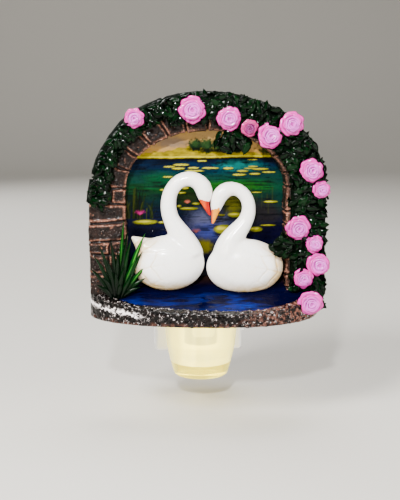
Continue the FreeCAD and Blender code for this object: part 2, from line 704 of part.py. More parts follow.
def bulb():
    """The small clear bulb with its screw base, stem, leads and filament."""
    place = dict(x=0, y="-cup_axis", z=0)
    outside = spun("glass_outside", glass_corners("0"), **place)
    room = spun("glass_room", glass_corners("glass_thickness"), **place)
    node(cut("bulb_glass", outside, room), "bulb_glass")
    node(spun("bulb_base", [
        ("bulb_base_radius - 1.2", BASE_FOOT), ("bulb_base_radius", BASE_FOOT + " + 1.2"),
        ("bulb_base_radius", GLASS_FOOT), ("bulb_base_radius - 0.4", GLASS_FOOT),
        ("bulb_base_radius - 0.4", BASE_FOOT + " + 1.4"), ("bulb_base_radius - 1.4", BASE_FOOT + " + 0.4"),
        ("0", BASE_FOOT + " + 0.4"), ("0", BASE_FOOT),
    ], **place), "bulb_base")
    node(spun("bulb_insulator", [
        ("1.5", BULB_FOOT + " + 0.6"), ("bulb_base_radius - 1.2", BASE_FOOT), ("0", BASE_FOOT),
        ("0", BULB_FOOT + " + 0.6"),
    ], **place), "bulb_insulator")
    node(spun("bulb_tip", [
        ("0", BULB_FOOT), ("1.1", BULB_FOOT), ("1.5", BULB_FOOT + " + 0.6"), ("0", BULB_FOOT + " + 0.6"),
    ], **place), "bulb_tip")
    inside = f"({GLASS_FOOT} + glass_thickness)"
    node(spun("bulb_stem", [
        ("0", inside), ("3", inside), ("1.6", inside + " + 4"),
        ("1.2", inside + " + 11"), ("0", inside + " + 12"),
    ], **place), "bulb_stem")
    top = value(inside) + LEAD_HEIGHT
    axis_y = -cell("cup_axis")
    ends = []
    leads = []
    for side in (-1, 1):
        start = Vector(side * 2.0, axis_y, value(inside) + 3.4)
        end = Vector(side * LEAD_SPREAD, axis_y, top)
        ends.append(end)
        leads.append(Part.makeCylinder(0.2, (end - start).Length, start, end - start))
    stem = finished("bulb_stem")
    node(shaped("bulb_leads", Part.makeCompound([lead.cut(stem) for lead in leads])), "bulb_leads")
    crest = Vector(0, axis_y, top + 2.2)
    loop = Part.Wire(Part.Arc(ends[0], crest, ends[1]).toShape())
    along = loop.Edges[0].tangentAt(loop.Edges[0].FirstParameter)
    section = Part.Wire(Part.makeCircle(0.25, ends[0], along))
    coil = loop.makePipeShell([section], True, False)
    for lead in leads:
        coil = coil.cut(lead)
    node(shaped("filament", max(coil.Solids, key=lambda piece: piece.Volume)), "filament")


def finished(name):
    """The finished shape of a sub-part, brought up to date first."""
    doc.recompute()
    return NODES[name].Shape.copy()


# ---------------------------------------------------------------------------------------------
# Resin arch, base and pond
# ---------------------------------------------------------------------------------------------

REACH = 200.0
BASE_PROUD = 0.2


def arch_face(half, rise, foot, y):
    """A doorway-shaped face: straight sides from foot to spring, then half an ellipse."""
    spring = cell("arch_spring")
    left = Vector(-half, y, spring)
    right = Vector(half, y, spring)
    centre = Vector(0, y, spring)
    crown = Vector(0, y, spring + rise)
    if half >= rise:
        curve = Part.Ellipse(right, crown, centre)
    else:
        curve = Part.Ellipse(crown, left, centre)
    start = curve.parameter(right)
    end = curve.parameter(left)
    if start > end:
        start -= 2 * math.pi
    arc = Part.ArcOfEllipse(curve, start, end).toShape()
    corners = [left, Vector(-half, y, foot), Vector(half, y, foot), right]
    sides = [Part.makeLine(a, b) for a, b in zip(corners, corners[1:])]
    return Part.Face(Part.Wire(Part.__sortEdges__([arc] + sides)))


def arch_slab(side, crown, foot, front, rear):
    """A doorway-shaped slab between two distances ahead of the plug face. side and crown are moves outwards
    from the arch's outer outline."""
    half = cell("arch_width") / 2 + side
    rise = cell("arch_crown") - cell("arch_spring") + crown
    return arch_face(half, rise, foot, -rear).extrude(Vector(0, rear - front, 0))


def opening_slab(grow, foot, front, rear):
    """A slab with the arch's opening, grown by a step all round."""
    return arch_slab(grow - cell("pillar_width"), grow - cell("crown_band"), foot, front, rear)


def on_arch(turn, out=0.0):
    """A place on the band's middle line, as x and z. turn is 0 at the right spring and 180 at the left one;
    90 less or more runs down a pillar to its foot. out moves it off the line, away from the opening."""
    spring = cell("arch_spring")
    half = (cell("arch_width") - cell("pillar_width")) / 2
    rise = cell("arch_crown") - spring - cell("crown_band") / 2
    drop = (spring - cell("arch_foot")) / 90.0
    if turn < 0:
        return half + out, spring + turn * drop
    if turn > 180:
        return -half - out, spring - (turn - 180) * drop
    angle = math.radians(turn)
    normal = Vector(math.cos(angle) / half, math.sin(angle) / rise, 0).normalize()
    return half * math.cos(angle) + out * normal.x, spring + rise * math.sin(angle) + out * normal.y


def arch_sector(start, end, front, rear):
    """A wedge that holds the band from one turn to another, to cut stretches of it."""
    steps = max(2, int(abs(end - start) / 30) + 1)
    turns = [start + (end - start) * i / steps for i in range(steps + 1)]
    far = [on_arch(turn, 30.0) for turn in turns]
    near = [on_arch(turn, -16.0) for turn in reversed(turns)]
    points = [Vector(x, -rear, z) for x, z in far + near]
    face = Part.Face(Part.makePolygon(points + points[:1]))
    return face.extrude(Vector(0, rear - front, 0))


def stone_arch():
    """The arch, with a step at the back of its opening for the scene panel."""
    rear = cell("arch_rear")
    front = rear + cell("arch_depth")
    foot = cell("arch_foot")
    step_front = rear + cell("rebate_depth")
    solid = arch_slab(0, 0, foot, front, rear)
    solid = solid.cut(opening_slab(0, foot - 1, front + 1, rear - 1))
    solid = solid.cut(opening_slab(cell("rebate_width"), foot - 1, step_front, rear - 1))
    node(shaped("stone_arch", solid), "stone_arch")
    panel = opening_slab(
        cell("rebate_width") - cell("panel_gap"), foot, step_front, step_front - cell("panel_thickness"),
    )
    node(shaped("scene_panel", panel), "scene_panel")


def base_face(inset, rear, level):
    """The base's plan: a straight back, short sides, and a front curved more on the left."""
    half = cell("arch_width") / 2 + BASE_PROUD - inset
    side = cell("base_side")
    depth = cell("base_front") - inset - side
    skew = cell("base_skew")
    tip = Vector(skew, -side - depth, level)
    edges = []
    for sign in (-1, 1):
        reach = half - sign * skew
        centre = Vector(skew, -side, level)
        corner = Vector(sign * half, -side, level)
        if reach >= depth:
            curve = Part.Ellipse(corner, tip, centre)
        else:
            curve = Part.Ellipse(tip, Vector(skew - sign * reach, -side, level), centre)
        first = curve.parameter(corner)
        last = curve.parameter(tip)
        if abs(last - first) > math.pi:
            first, last = (first + 2 * math.pi, last) if first < last else (first, last + 2 * math.pi)
        if first > last:
            first, last = last, first
        edges.append(Part.ArcOfEllipse(curve, first, last).toShape())
    left_rear = Vector(-half, -rear, level)
    right_rear = Vector(half, -rear, level)
    edges.append(Part.makeLine(Vector(-half, -side, level), left_rear))
    edges.append(Part.makeLine(left_rear, right_rear))
    edges.append(Part.makeLine(right_rear, Vector(half, -side, level)))
    return Part.Face(Part.Wire(Part.__sortEdges__(edges)))


def side_prism(profile):
    """A block whose outline from the side is a list of distances ahead of the plug face and heights."""
    points = [Vector(-REACH, -ahead, high) for ahead, high in profile]
    face = Part.Face(Part.makePolygon(points + points[:1]))
    return face.extrude(Vector(2 * REACH, 0, 0))


def water_level(ahead):
    """The height of the water's surface that far ahead of the plug face."""
    rear = cell("arch_rear") + cell("rebate_depth")
    front = cell("base_front") - cell("rim_width")
    share = (ahead - rear) / (front - rear)
    return cell("pond_rear") + share * (-cell("pond_front") - cell("pond_rear"))


def rim_level(ahead):
    """The height of the rim's top that far ahead of the plug face."""
    start = cell("arch_rear") + cell("arch_depth")
    share = max(0.0, (ahead - start) / (cell("base_front") - start))
    return cell("arch_foot") + share * (-cell("rim_front_top") - cell("arch_foot"))


def rock_base():
    """The rock base with its rim, and the sloping pond poured inside it."""
    bottom = -cell("base_bottom")
    rear = cell("arch_rear")
    middle = rear + cell("arch_depth")
    tip = cell("base_front")
    panel_front = rear + cell("rebate_depth")
    plan = base_face(0, rear, bottom).extrude(Vector(0, 0, REACH / 2))
    rim = plan.common(side_prism([
        (rear, bottom), (rear, rim_level(rear)), (middle, rim_level(middle)),
        (tip + 1, rim_level(tip + 1)), (tip + 1, bottom),
    ]))
    inner = base_face(cell("rim_width"), panel_front, bottom + 2).extrude(Vector(0, 0, REACH / 2))
    opening = cell("arch_width") / 2 - cell("pillar_width")
    for start in (-REACH, opening):
        corner = Vector(start, -middle, bottom)
        inner = inner.cut(Part.makeBox(REACH - opening, cell("arch_depth") + 5, REACH, corner))
    thickness = cell("pond_thickness")
    front_end = tip + 5

    def pond_layer(low, high):
        return inner.common(side_prism([
            (panel_front, water_level(panel_front) + low), (panel_front, water_level(panel_front) + high),
            (front_end, water_level(front_end) + high), (front_end, water_level(front_end) + low),
        ]))

    bed = inner.common(side_prism([
        (panel_front, bottom), (panel_front, water_level(panel_front) - thickness),
        (front_end, water_level(front_end) - thickness), (front_end, bottom),
    ]))
    node(shaped("rock_base", rim.cut(inner).fuse(bed).removeSplitter()), "rock_base")
    node(shaped("pond_water", pond_layer(-thickness, 0)), "pond_water")


# ---------------------------------------------------------------------------------------------
# Swans
# ---------------------------------------------------------------------------------------------

OPENING_AS_DRAWN = 34.8
CROWN_AS_DRAWN = 73.5
SWAN_SETBACK = 9.3
TAIL_RADIUS = 6.0
NECK_RINGS = 30

# Each swan: body middle (x, height over the plug axis), half sizes (x, y, z), tail tip, neck stations
# (x, z, radius) from the back to the beak, and beak tip. All for an opening as wide and high as drawn.
SWANS = {
    "swan_left": dict(
        middle=(-16.4, 16.6), half=(15.7, 7.2, 12.1), tail=(-32.4, 28.4),
        neck=[(-7.0, 20.0, 6.0), (-11.6, 29.6, 4.6), (-15.2, 36.0, 3.5), (-16.2, 42.5, 3.3),
              (-14.4, 48.8, 3.0), (-9.6, 52.6, 3.0), (-4.2, 51.9, 3.4), (-1.3, 48.6, 3.8),
              (-0.7, 45.2, 3.2), (-0.6, 42.4, 1.8)],
        beak=(-0.6, 42.6, 1.7), beak_tip=(1.7, 36.8),
    ),
    "swan_right": dict(
        middle=(16.8, 14.4), half=(16.9, 7.2, 12.2), tail=(33.8, 21.6),
        neck=[(8.6, 19.0, 6.0), (13.0, 29.2, 4.4), (17.0, 34.6, 3.3), (18.3, 40.0, 2.9), (16.7, 45.2, 2.8),
              (12.2, 48.3, 2.8), (8.0, 47.6, 3.3), (5.4, 44.6, 3.3), (4.4, 41.4, 2.7), (3.9, 38.8, 1.8)],
        beak=(3.9, 39.0, 1.7), beak_tip=(2.7, 33.2),
    ),
}


def swan_middle():
    """How far ahead of the plug face the swans' middle plane lies."""
    return cell("arch_rear") + cell("rebate_depth") + SWAN_SETBACK


def ellipsoid(middle, half):
    """A sphere stretched to three half sizes, in place."""
    stretch = FreeCAD.Matrix()
    stretch.A11, stretch.A22, stretch.A33 = half
    stretch.A14, stretch.A24, stretch.A34 = middle
    return Part.makeSphere(1.0).transformGeometry(stretch)


def neck_ring(middle, along, radius):
    """A round section across the neck, begun at its front point so that all sections line up."""
    aside = Vector(-along.z, 0, along.x).normalize() * radius
    front = middle + Vector(0, -radius, 0)
    rear = middle + Vector(0, radius, 0)
    halves = [Part.Arc(front, middle + aside, rear), Part.Arc(rear, middle - aside, front)]
    return Part.Wire([half.toShape() for half in halves])


def neck_loft(stations, y):
    """A tapering tube along a smooth line through the stations."""
    line = Part.BSplineCurve()
    line.interpolate([Vector(x, y, z) for x, z, radius in stations])
    first, last = line.FirstParameter, line.LastParameter
    places = [line.parameter(Vector(x, y, z)) for x, z, radius in stations]
    rings = []
    for step in range(NECK_RINGS + 1):
        at = first + (last - first) * step / NECK_RINGS
        after = min(max(1, sum(place <= at for place in places)), len(places) - 1)
        share = (at - places[after - 1]) / (places[after] - places[after - 1])
        radius = stations[after - 1][2] + share * (stations[after][2] - stations[after - 1][2])
        rings.append(neck_ring(line.value(at), line.tangent(at)[0], radius))
    return Part.makeLoft(rings, True, True)


def swan(name):
    """One swan: body, tail, curved neck with its head, and beak."""
    form = SWANS[name]
    y = -swan_middle()
    across, deep, high = form["half"]
    middle = Vector(form["middle"][0], y, form["middle"][1])
    solid = ellipsoid(middle, (across, deep, high))
    tail_tip = Vector(form["tail"][0], y, form["tail"][1])
    tail_root = middle + (tail_tip - middle) * 0.45
    tail = Part.makeCone(TAIL_RADIUS, 0.6, (tail_tip - tail_root).Length, tail_root, tail_tip - tail_root)
    neck = neck_loft(form["neck"], y)
    beak_x, beak_z, beak_radius = form["beak"]
    beak_root = Vector(beak_x, y, beak_z)
    beak_tip = Vector(form["beak_tip"][0], y, form["beak_tip"][1])
    beak = Part.makeCone(beak_radius, 0.5, (beak_tip - beak_root).Length, beak_root, beak_tip - beak_root)
    for piece in (tail, neck, beak):
        solid = solid.fuse(piece)
    wide = (cell("arch_width") / 2 - cell("pillar_width")) / OPENING_AS_DRAWN
    tall = (cell("arch_crown") - cell("crown_band")) / CROWN_AS_DRAWN
    share = min(wide, tall)
    scale = FreeCAD.Matrix()
    scale.A11 = scale.A33 = share
    scale.A34 = (1 - share) * water_level(swan_middle())
    if abs(share - 1) > 1e-6:
        solid = solid.transformGeometry(scale)
    return solid.cut(NODES["rock_base"].Shape).cut(NODES["pond_water"].Shape)


def swans():
    """Both swans. The left one gives way where they touch."""
    right = swan("swan_right")
    left = swan("swan_left").cut(right)
    left = max(left.Solids, key=lambda s: s.Volume)
    node(shaped("swan_right", max(right.Solids, key=lambda s: s.Volume)), "swan_right")
    node(shaped("swan_left", left), "swan_left")


# ---------------------------------------------------------------------------------------------
# Leaves, roses and reeds
# ---------------------------------------------------------------------------------------------

# Each garland: from and to (turns along the arch), its inner edge, measured outwards from the band's
# middle line, and how far it stands out of the arch's outline.
GARLANDS = {
    "garland_left": (112.0, 192.0, 0.0, "overhang_left"),
    "garland_top": (62.0, 112.0, -3.0, "overhang_top"),
    "garland_right": (-88.0, 62.0, -6.4, "overhang_right"),
}

# Each hanging spray: turn along the arch, out from the band's middle line, how far its middle lies ahead
# of the leaves' front, half sizes (x, y, z), and the sub-parts that it gives way to.
SPRIGS = {
    "sprig_top": (
        70.0, -11.0, -1.9, (8.4, 1.9, 4.4),
        ("stone_arch", "garland_top", "garland_right", "swan_left", "swan_right"),
    ),
    "sprig_right": (-47.5, -10.2, 1.3, (4.6, 1.4, 4.4), ("garland_right", "swan_right")),
}

# Each rose: turn along the arch, out from the band's middle line, diameter.
ROSES = [
    (130.0, 6.5, 8.3), (98.5, 1.75, 11.2), (77.5, -1.25, 10.0), (64.0, -3.25, 7.5), (49.5, -2.25, 10.5),
    (43.0, 7.25, 10.5), (13.0, 3.25, 10.6), (0.0, 6.25, 7.6), (-33.5, -3.5, 10.7), (-47.0, 3.75, 7.7),
    (-64.5, 5.75, 10.3), (-76.5, -1.0, 8.6), (-96.0, 1.0, 10.8),
]

ROSE_PETALS = 5
LOW_ROSE_STAND = 2.2

# Reed blade tips from the clump's foot: right, ahead, up.
REED_TIPS = [
    (3.0, 4.0, 33.0), (11.5, 4.5, 28.0), (10.5, 5.0, 20.5), (12.0, 5.0, 14.5), (11.0, 4.5, 9.0),
    (-10.0, 3.5, 19.0), (-7.5, 4.5, 13.0), (-3.0, 4.0, 25.5),
]


def leaf_front():
    """How far ahead of the plug face the leaves' front lies."""
    return cell("arch_rear") + cell("arch_depth") + cell("leaf_thickness")


def garlands():
    """The three stretches of leaves over the arch's face and its outer edge."""
    front = leaf_front()
    middle_side = cell("pillar_width") / 2
    middle_crown = cell("crown_band") / 2
    rear = cell("arch_rear") + cell("arch_depth") * 0.55
    face = cell("arch_rear") + cell("arch_depth")
    foot = cell("arch_foot")
    for name, (start, end, inner, overhang) in GARLANDS.items():
        out = cell(overhang)
        whole = arch_slab(out, out, foot, front, rear).cut(arch_slab(0, 0, foot - 1, face, rear - 1))
        hole = arch_slab(inner - middle_side, inner - middle_crown, foot - 1, front + 1, rear - 1)
        stretch = whole.cut(hole).common(arch_sector(start, end, front + 1, rear - 1))
        node(shaped(name, max(stretch.Solids, key=lambda s: s.Volume)), name)


def sprigs():
    """Two sprays of leaves that hang into the opening."""
    for name, (turn, out, ahead, half, neighbours) in SPRIGS.items():
        x, z = on_arch(turn, out)
        spray = ellipsoid(Vector(x, -leaf_front() - ahead, z), half)
        for neighbour in neighbours:
            spray = spray.cut(NODES[neighbour].Shape)
        node(shaped(name, max(spray.Solids, key=lambda s: s.Volume)), name)


def base_reach(x):
    """How far ahead of the plug face the base's outline lies at x."""
    skew = cell("base_skew")
    half = cell("arch_width") / 2 + BASE_PROUD
    reach = half - skew if x > skew else half + skew
    share = min(1.0, abs(x - skew) / reach)
    return cell("base_side") + (cell("base_front") - cell("base_side")) * math.sqrt(1 - share ** 2)


def roses():
    """Thirteen resin roses, each five petals around a bud with a flat back on the leaves."""
    front = leaf_front()
    for number, (turn, out, diameter) in enumerate(ROSES, 1):
        name = f"rose_{number:02d}"
        x, z = on_arch(turn, out)
        seat = base_reach(x) + LOW_ROSE_STAND if turn < -90 else front + cell("fit_gap")
        middle = Vector(x, -seat - 0.2 * diameter, z)
        bloom = Part.makeSphere(diameter * 0.30, middle + Vector(0, -diameter * 0.06, 0))
        for petal in range(ROSE_PETALS):
            angle = math.radians(360 / ROSE_PETALS * petal + 17 * number)
            aside = Vector(math.cos(angle), 0, math.sin(angle)) * diameter * 0.27
            bloom = bloom.fuse(Part.makeSphere(diameter * 0.23, middle + aside))
        bloom = bloom.cut(Part.makeBox(20, 20, 20, Vector(x - 10, -seat, z - 10)))
        limit = seat + cell("rose_depth")
        bloom = bloom.cut(Part.makeBox(20, 20, 20, Vector(x - 10, -limit - 20, z - 10)))
        for earlier in range(max(1, number - 2), number):
            bloom = bloom.cut(NODES[f"rose_{earlier:02d}"].Shape)
        for other in ("sprig_top", "sprig_right", "rock_base"):
            bloom = bloom.cut(NODES[other].Shape)
        node(shaped(name, max(bloom.Solids, key=lambda s: s.Volume)), name)


def reed_clump():
    """The clump of reeds at the left pillar's foot."""
    half = cell("arch_width") / 2
    ahead = cell("arch_rear") + cell("arch_depth") + 3.0
    foot = Vector(-half + 11.3, -ahead, water_level(ahead) - 0.5)
    clump = ellipsoid(foot + Vector(0, 0, 1.5), (4.6, 2.4, 3.0))
    for right, forward, up in REED_TIPS:
        reach = Vector(right, -forward, up)
        start = foot + Vector(right * 0.25, 0, 0)
        clump = clump.fuse(Part.makeCone(1.2, 0.35, reach.Length, start, reach))
    for name in ("rock_base", "pond_water", "stone_arch", "swan_left"):
        clump = clump.cut(NODES[name].Shape)
    node(shaped("reed_clump", max(clump.Solids, key=lambda s: s.Volume)), "reed_clump")


# ---------------------------------------------------------------------------------------------
# Shade bracket
# ---------------------------------------------------------------------------------------------

def shade_bracket():
    """The steel plate on the back of the base, whose tongue slides down into the cup's lid."""
    rear = "-(arch_rear - bracket_thickness) - bracket_thickness"
    owner = body("shade_bracket", y=rear)
    sketch = sketch_on(owner, "XZ_Plane", "bracket_outline")
    outline(sketch, [
        ("-tongue_width / 2 + 1", "-tongue_bottom"), ("tongue_width / 2 - 1", "-tongue_bottom"),
        ("tongue_width / 2", "2 - tongue_bottom"), ("tongue_width / 2", "-cup_top"),
        ("bracket_width / 2", "-cup_top"), ("bracket_width / 2", "bracket_top"),
        ("-bracket_width / 2", "bracket_top"), ("-bracket_width / 2", "-cup_top"),
        ("-tongue_width / 2", "-cup_top"), ("-tongue_width / 2", "2 - tongue_bottom"),
    ])
    pad(owner, sketch, "bracket_plate", "bracket_thickness", flip=True)
    holes = []
    screws = []
    for side in (-1, 1):
        x = f"{side} * bracket_screw_spacing / 2"
        holes.append(round_bar(
            f"bracket_hole_{side + 1}", "screw_radius + fit_gap", "bracket_thickness + 2", x,
            "1 - arch_rear + bracket_thickness", "-bracket_screw_drop", along=TOWARDS_FRONT,
        ))
        head = round_bar(
            f"bracket_screw_head_{side + 1}", "screw_head_radius", "bracket_head", x,
            "-arch_rear + bracket_thickness + bracket_head", "-bracket_screw_drop", along=TOWARDS_FRONT,
        )
        shank = round_bar(
            f"bracket_screw_shank_{side + 1}", "screw_radius", "screw_length", x,
            "-arch_rear + bracket_thickness", "-bracket_screw_drop", along=TOWARDS_FRONT,
        )
        slit = box(
            f"bracket_screw_slit_{side + 1}", "5", "1", "0.6", x + " - 2.5",
            "-arch_rear + bracket_thickness + bracket_head / 2", "-bracket_screw_drop - 0.3",
        )
        solid = fuse(f"bracket_screw_solid_{side + 1}", head, shank)
        screws.append(cut(f"bracket_screw_{side + 1}", solid, slit))
    node(cut("shade_bracket", owner, *holes), "shade_bracket")
    group = doc.addObject("Part::Compound", "bracket_screw_group")
    group.Links = screws
    node(group, "bracket_screws")
    doc.recompute()
    base = NODES["rock_base"]
    drilled = base.Shape
    for side in (-1, 1):
        drilled = drilled.cut(Part.makeCylinder(
            cell("screw_radius") + cell("fit_gap"), cell("screw_length"),
            Vector(side * cell("bracket_screw_spacing") / 2, -cell("arch_rear"), -cell("bracket_screw_drop")),
            TOWARDS_FRONT,
        ))
    base.Shape = drilled


# ---------------------------------------------------------------------------------------------
# Build, check and write
# ---------------------------------------------------------------------------------------------

def build():
    """Every sub-part, from the wall outwards."""
    plug()
    rear_housing()
    rear_cover()
    straps()
    switch()
    lamp_cup()
    lamp_holder()
    bulb()
    rock_base()
    stone_arch()
    swans()
    garlands()
    sprigs()
    roses()
    reed_clump()
    shade_bracket()
    doc.recompute()


def check():
    """Stops if any object failed or any sub-part is empty or broken."""
    for obj in doc.Objects:
        if {"Invalid", "Error"} & set(obj.State):
            raise RuntimeError(f"{obj.Label} failed: {obj.State}")
    for name, obj in NODES.items():
        if obj.Shape.isNull() or not obj.Shape.isValid() or not obj.Shape.Solids:
            raise RuntimeError(f"{name} has no valid solid")


def write():
    """One STEP file for each sub-part."""
    os.makedirs("parts", exist_ok=True)
    for name, obj in NODES.items():
        obj.Shape.exportStep(f"parts/{name}.step")


build()
check()
write()
print(f"{len(NODES)} sub-parts written")
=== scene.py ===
"""A plug-in night light with two resin swans under a rose-grown stone arch, dressed for close views."""

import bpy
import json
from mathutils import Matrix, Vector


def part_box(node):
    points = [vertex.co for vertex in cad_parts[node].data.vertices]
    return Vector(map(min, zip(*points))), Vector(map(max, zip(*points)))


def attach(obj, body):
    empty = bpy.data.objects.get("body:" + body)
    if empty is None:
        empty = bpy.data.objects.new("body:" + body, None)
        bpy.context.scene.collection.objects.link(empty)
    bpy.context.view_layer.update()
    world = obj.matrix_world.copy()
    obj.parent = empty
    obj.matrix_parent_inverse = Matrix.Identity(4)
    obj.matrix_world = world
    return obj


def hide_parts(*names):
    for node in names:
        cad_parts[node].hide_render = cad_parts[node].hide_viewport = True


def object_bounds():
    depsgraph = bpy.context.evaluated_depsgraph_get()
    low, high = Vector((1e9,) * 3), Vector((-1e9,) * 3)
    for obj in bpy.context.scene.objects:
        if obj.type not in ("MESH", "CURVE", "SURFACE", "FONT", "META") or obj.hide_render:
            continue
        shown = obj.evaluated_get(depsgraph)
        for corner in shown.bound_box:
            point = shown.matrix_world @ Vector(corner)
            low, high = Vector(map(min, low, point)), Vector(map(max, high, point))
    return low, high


bl_info = {
    "name": "Swan Night Light",
    "version": (1, 0, 0),
    "blender": (4, 5, 0),
    "location": "View3D > Sidebar > Night Light",
    "description": "Builds the resin scene, the plastics and the studio of a plug-in swan night light",
    "category": "Add Mesh",
}

import json
import math

import bmesh
import bpy
import numpy as np
from mathutils import Vector

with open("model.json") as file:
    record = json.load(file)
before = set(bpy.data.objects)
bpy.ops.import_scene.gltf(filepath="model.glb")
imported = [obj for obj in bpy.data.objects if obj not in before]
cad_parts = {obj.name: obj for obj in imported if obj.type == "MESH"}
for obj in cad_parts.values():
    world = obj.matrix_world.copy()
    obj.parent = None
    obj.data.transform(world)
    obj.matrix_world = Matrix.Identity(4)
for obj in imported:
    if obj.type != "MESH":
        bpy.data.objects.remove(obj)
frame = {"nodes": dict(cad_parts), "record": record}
CAD_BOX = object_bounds()

MM = 0.001
SUBPARTS = {part["node"]: part["material_slot"] for part in frame["record"]["subparts"]}


# Measures of the frame, in millimetres


def corners(node):
    """The lowest and highest corner of a node, in millimetres."""
    low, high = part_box(node)
    return np.array(low) / MM, np.array(high) / MM


ARCH_LOW, ARCH_HIGH = corners("stone_arch")
PANEL_LOW, PANEL_HIGH = corners("scene_panel")
ARCH_HALF = (ARCH_HIGH[0] - ARCH_LOW[0]) / 2
ARCH_CROWN = ARCH_HIGH[2]
ARCH_FOOT = ARCH_LOW[2]
ARCH_REAR = -ARCH_HIGH[1]
ARCH_FRONT = -ARCH_LOW[1]


# Property groups


def length(name, default, description):
    """A size that a user can change, in metres."""
    return bpy.props.FloatProperty(name=name, description=description, default=default, unit="LENGTH")


def colour(name, default, description):
    """A colour that a user can change."""
    return bpy.props.FloatVectorProperty(
        name=name, description=description, default=default, subtype="COLOR", size=3, min=0, max=1
    )


class NightLightSizes(bpy.types.PropertyGroup):
    """Sizes of the modelled detail"""

    spring_height: length("Arch spring", 48.5 * MM, "Height at which the pillars turn into the arch")
    pillar_width: length("Pillar width", 14.7 * MM, "Width of the stone band at the pillars")
    crown_band: length("Crown band", 14.5 * MM, "Width of the stone band at the crown")
    stone_course: length("Stone course", 7.2 * MM, "Usual height of one course of stones")
    stone_relief: length("Stone relief", 0.9 * MM, "How far the stones stand out of their joints")
    shoulder_slump: length("Shoulder slump", 2.0 * MM, "How far the arch's left shoulder is drawn in")
    rock_relief: length("Rock relief", 0.55 * MM, "Depth of the dents in the rim")
    leaf_length: length("Leaf length", 5.8 * MM, "Length of a garland leaf")
    leaf_width: length("Leaf width", 3.0 * MM, "Width of a garland leaf")
    petal_thickness: length("Petal thickness", 0.42 * MM, "Thickness of a rose petal")
    reed_width: length("Reed width", 2.7 * MM, "Width of a reed blade")
    reed_thickness: length("Reed thickness", 0.6 * MM, "Thickness of a reed blade")
    feather_relief: length("Feather relief", 0.34 * MM, "Depth of the feather lines on the swans")
    panel_grid: length("Panel grid", 0.3 * MM, "Spacing of the points that carry the painted scene")


class NightLightColours(bpy.types.PropertyGroup):
    """Colours of the finishes"""

    stone_dark: colour("Stone, dark", (0.0035, 0.0018, 0.0014), "Deep brown of the stones")
    stone_mid: colour("Stone, mid", (0.014, 0.007, 0.0055), "Brown of the stones")
    stone_edge: colour("Stone, edges", (0.38, 0.15, 0.09), "Copper brushed over the edges")
    rock_dark: colour("Rock, dark", (0.0012, 0.0009, 0.0009), "Black-brown of the rim")
    rock_copper: colour("Rock, copper", (0.16, 0.06, 0.04), "Copper brushed over the rim")
    swan_white: colour("Swan white", (0.95, 0.93, 0.89), "Creamy white of the swans")
    # Swan shade is the beige of the painted shade under the swans, at their rims and in their feather
    # lines.
    swan_shade: colour("Swan shade", (0.64, 0.44, 0.17), "Airbrushed shade at the swans' edges")
    beak_orange: colour("Beak orange", (0.62, 0.060, 0.0), "Orange of the beaks")
    beak_yellow: colour("Beak yellow", (0.68, 0.24, 0.0), "Yellow-orange of the right beak")
    beak_red: colour("Beak red", (0.36, 0.003, 0.0), "Red of the left beak")
    rose_pale: colour("Rose, pale", (0.60, 0.085, 0.52), "Pale heart of a rose")
    rose_pink: colour("Rose, pink", (0.54, 0.018, 0.32), "Pink of the outer petals")
    rose_lip: colour("Rose, lip", (0.60, 0.004, 0.22), "Strong pink of the petals' edges")
    # The purple of the painted shade between the petals.
    rose_painted_shade: colour("Rose, deep", (0.07, 0.002, 0.055), "Purple between the petals")
    leaf_dark: colour("Leaf, dark", (0.0001, 0.0008, 0.0003), "Dark green of the leaves")
    leaf_bright: colour("Leaf, bright", (0.0007, 0.013, 0.002), "Brighter green of some leaves")
    reed_dark: colour("Reed, dark", (0.0002, 0.0012, 0.0005), "Dark green at the reeds' foot")
    reed_bright: colour("Reed, bright", (0.0022, 0.038, 0.0045), "Yellow-green of the reeds' tips")
    water_dark: colour("Water, dark", (0.0002, 0.0004, 0.009), "Deep navy of the pond")
    water_bright: colour("Water, bright", (0.0012, 0.012, 0.17), "Blue of the pond's streaks")
    milky: colour("Milky plastic", (0.97, 0.92, 0.46), "Pale yellow of the lamp cup")
    white: colour("White plastic", (0.93, 0.92, 0.89), "White of the housing")


def sizes():
    """The sizes that the user sees in the sidebar."""
    return bpy.context.scene.night_light_sizes


def colours():
    """The colours that the user sees in the sidebar."""
    return bpy.context.scene.night_light_colours


# Noise and mesh helpers


def lattice(cells, seed):
    """A fixed pseudo-random number from 0 to 1 for each whole-numbered cell."""
    cells = cells.astype(np.int64)
    mixed = cells[..., 0] * 73856093 ^ cells[..., 1] * 19349663 ^ cells[..., 2] * 83492791 ^ seed * 2654435
    mixed = (mixed * 2654435761 + 97) & 0xFFFFFFFF
    mixed = ((mixed >> 15) ^ mixed) * 2246822519 & 0xFFFFFFFF
    mixed = ((mixed >> 13) ^ mixed) * 3266489917 & 0xFFFFFFFF
    return (mixed & 0xFFFFFF) / float(0xFFFFFF)


def smooth_noise(points, size, seed=1):
    """Smooth noise from 0 to 1, with lumps of that size in the points' own unit."""
    scaled = np.asarray(points, float) / size
    base = np.floor(scaled)
    part = scaled - base
    part = part * part * (3 - 2 * part)
    total = 0
    for dx in (0, 1):
        for dy in (0, 1):
            for dz in (0, 1):
                weight = (
                    (part[..., 0] if dx else 1 - part[..., 0])
                    * (part[..., 1] if dy else 1 - part[..., 1])
                    * (part[..., 2] if dz else 1 - part[..., 2])
                )
                total = total + weight * lattice(base + (dx, dy, dz), seed)
    return total


def layered_noise(points, size, octaves=3, seed=1):
    """Several octaves of smooth noise, from 0 to 1."""
    total, weight, scale = 0, 0, 1.0
    for octave in range(octaves):
        total = total + scale * smooth_noise(points, size * scale, seed + octave * 11)
        weight += scale
        scale /= 2
    return total / weight


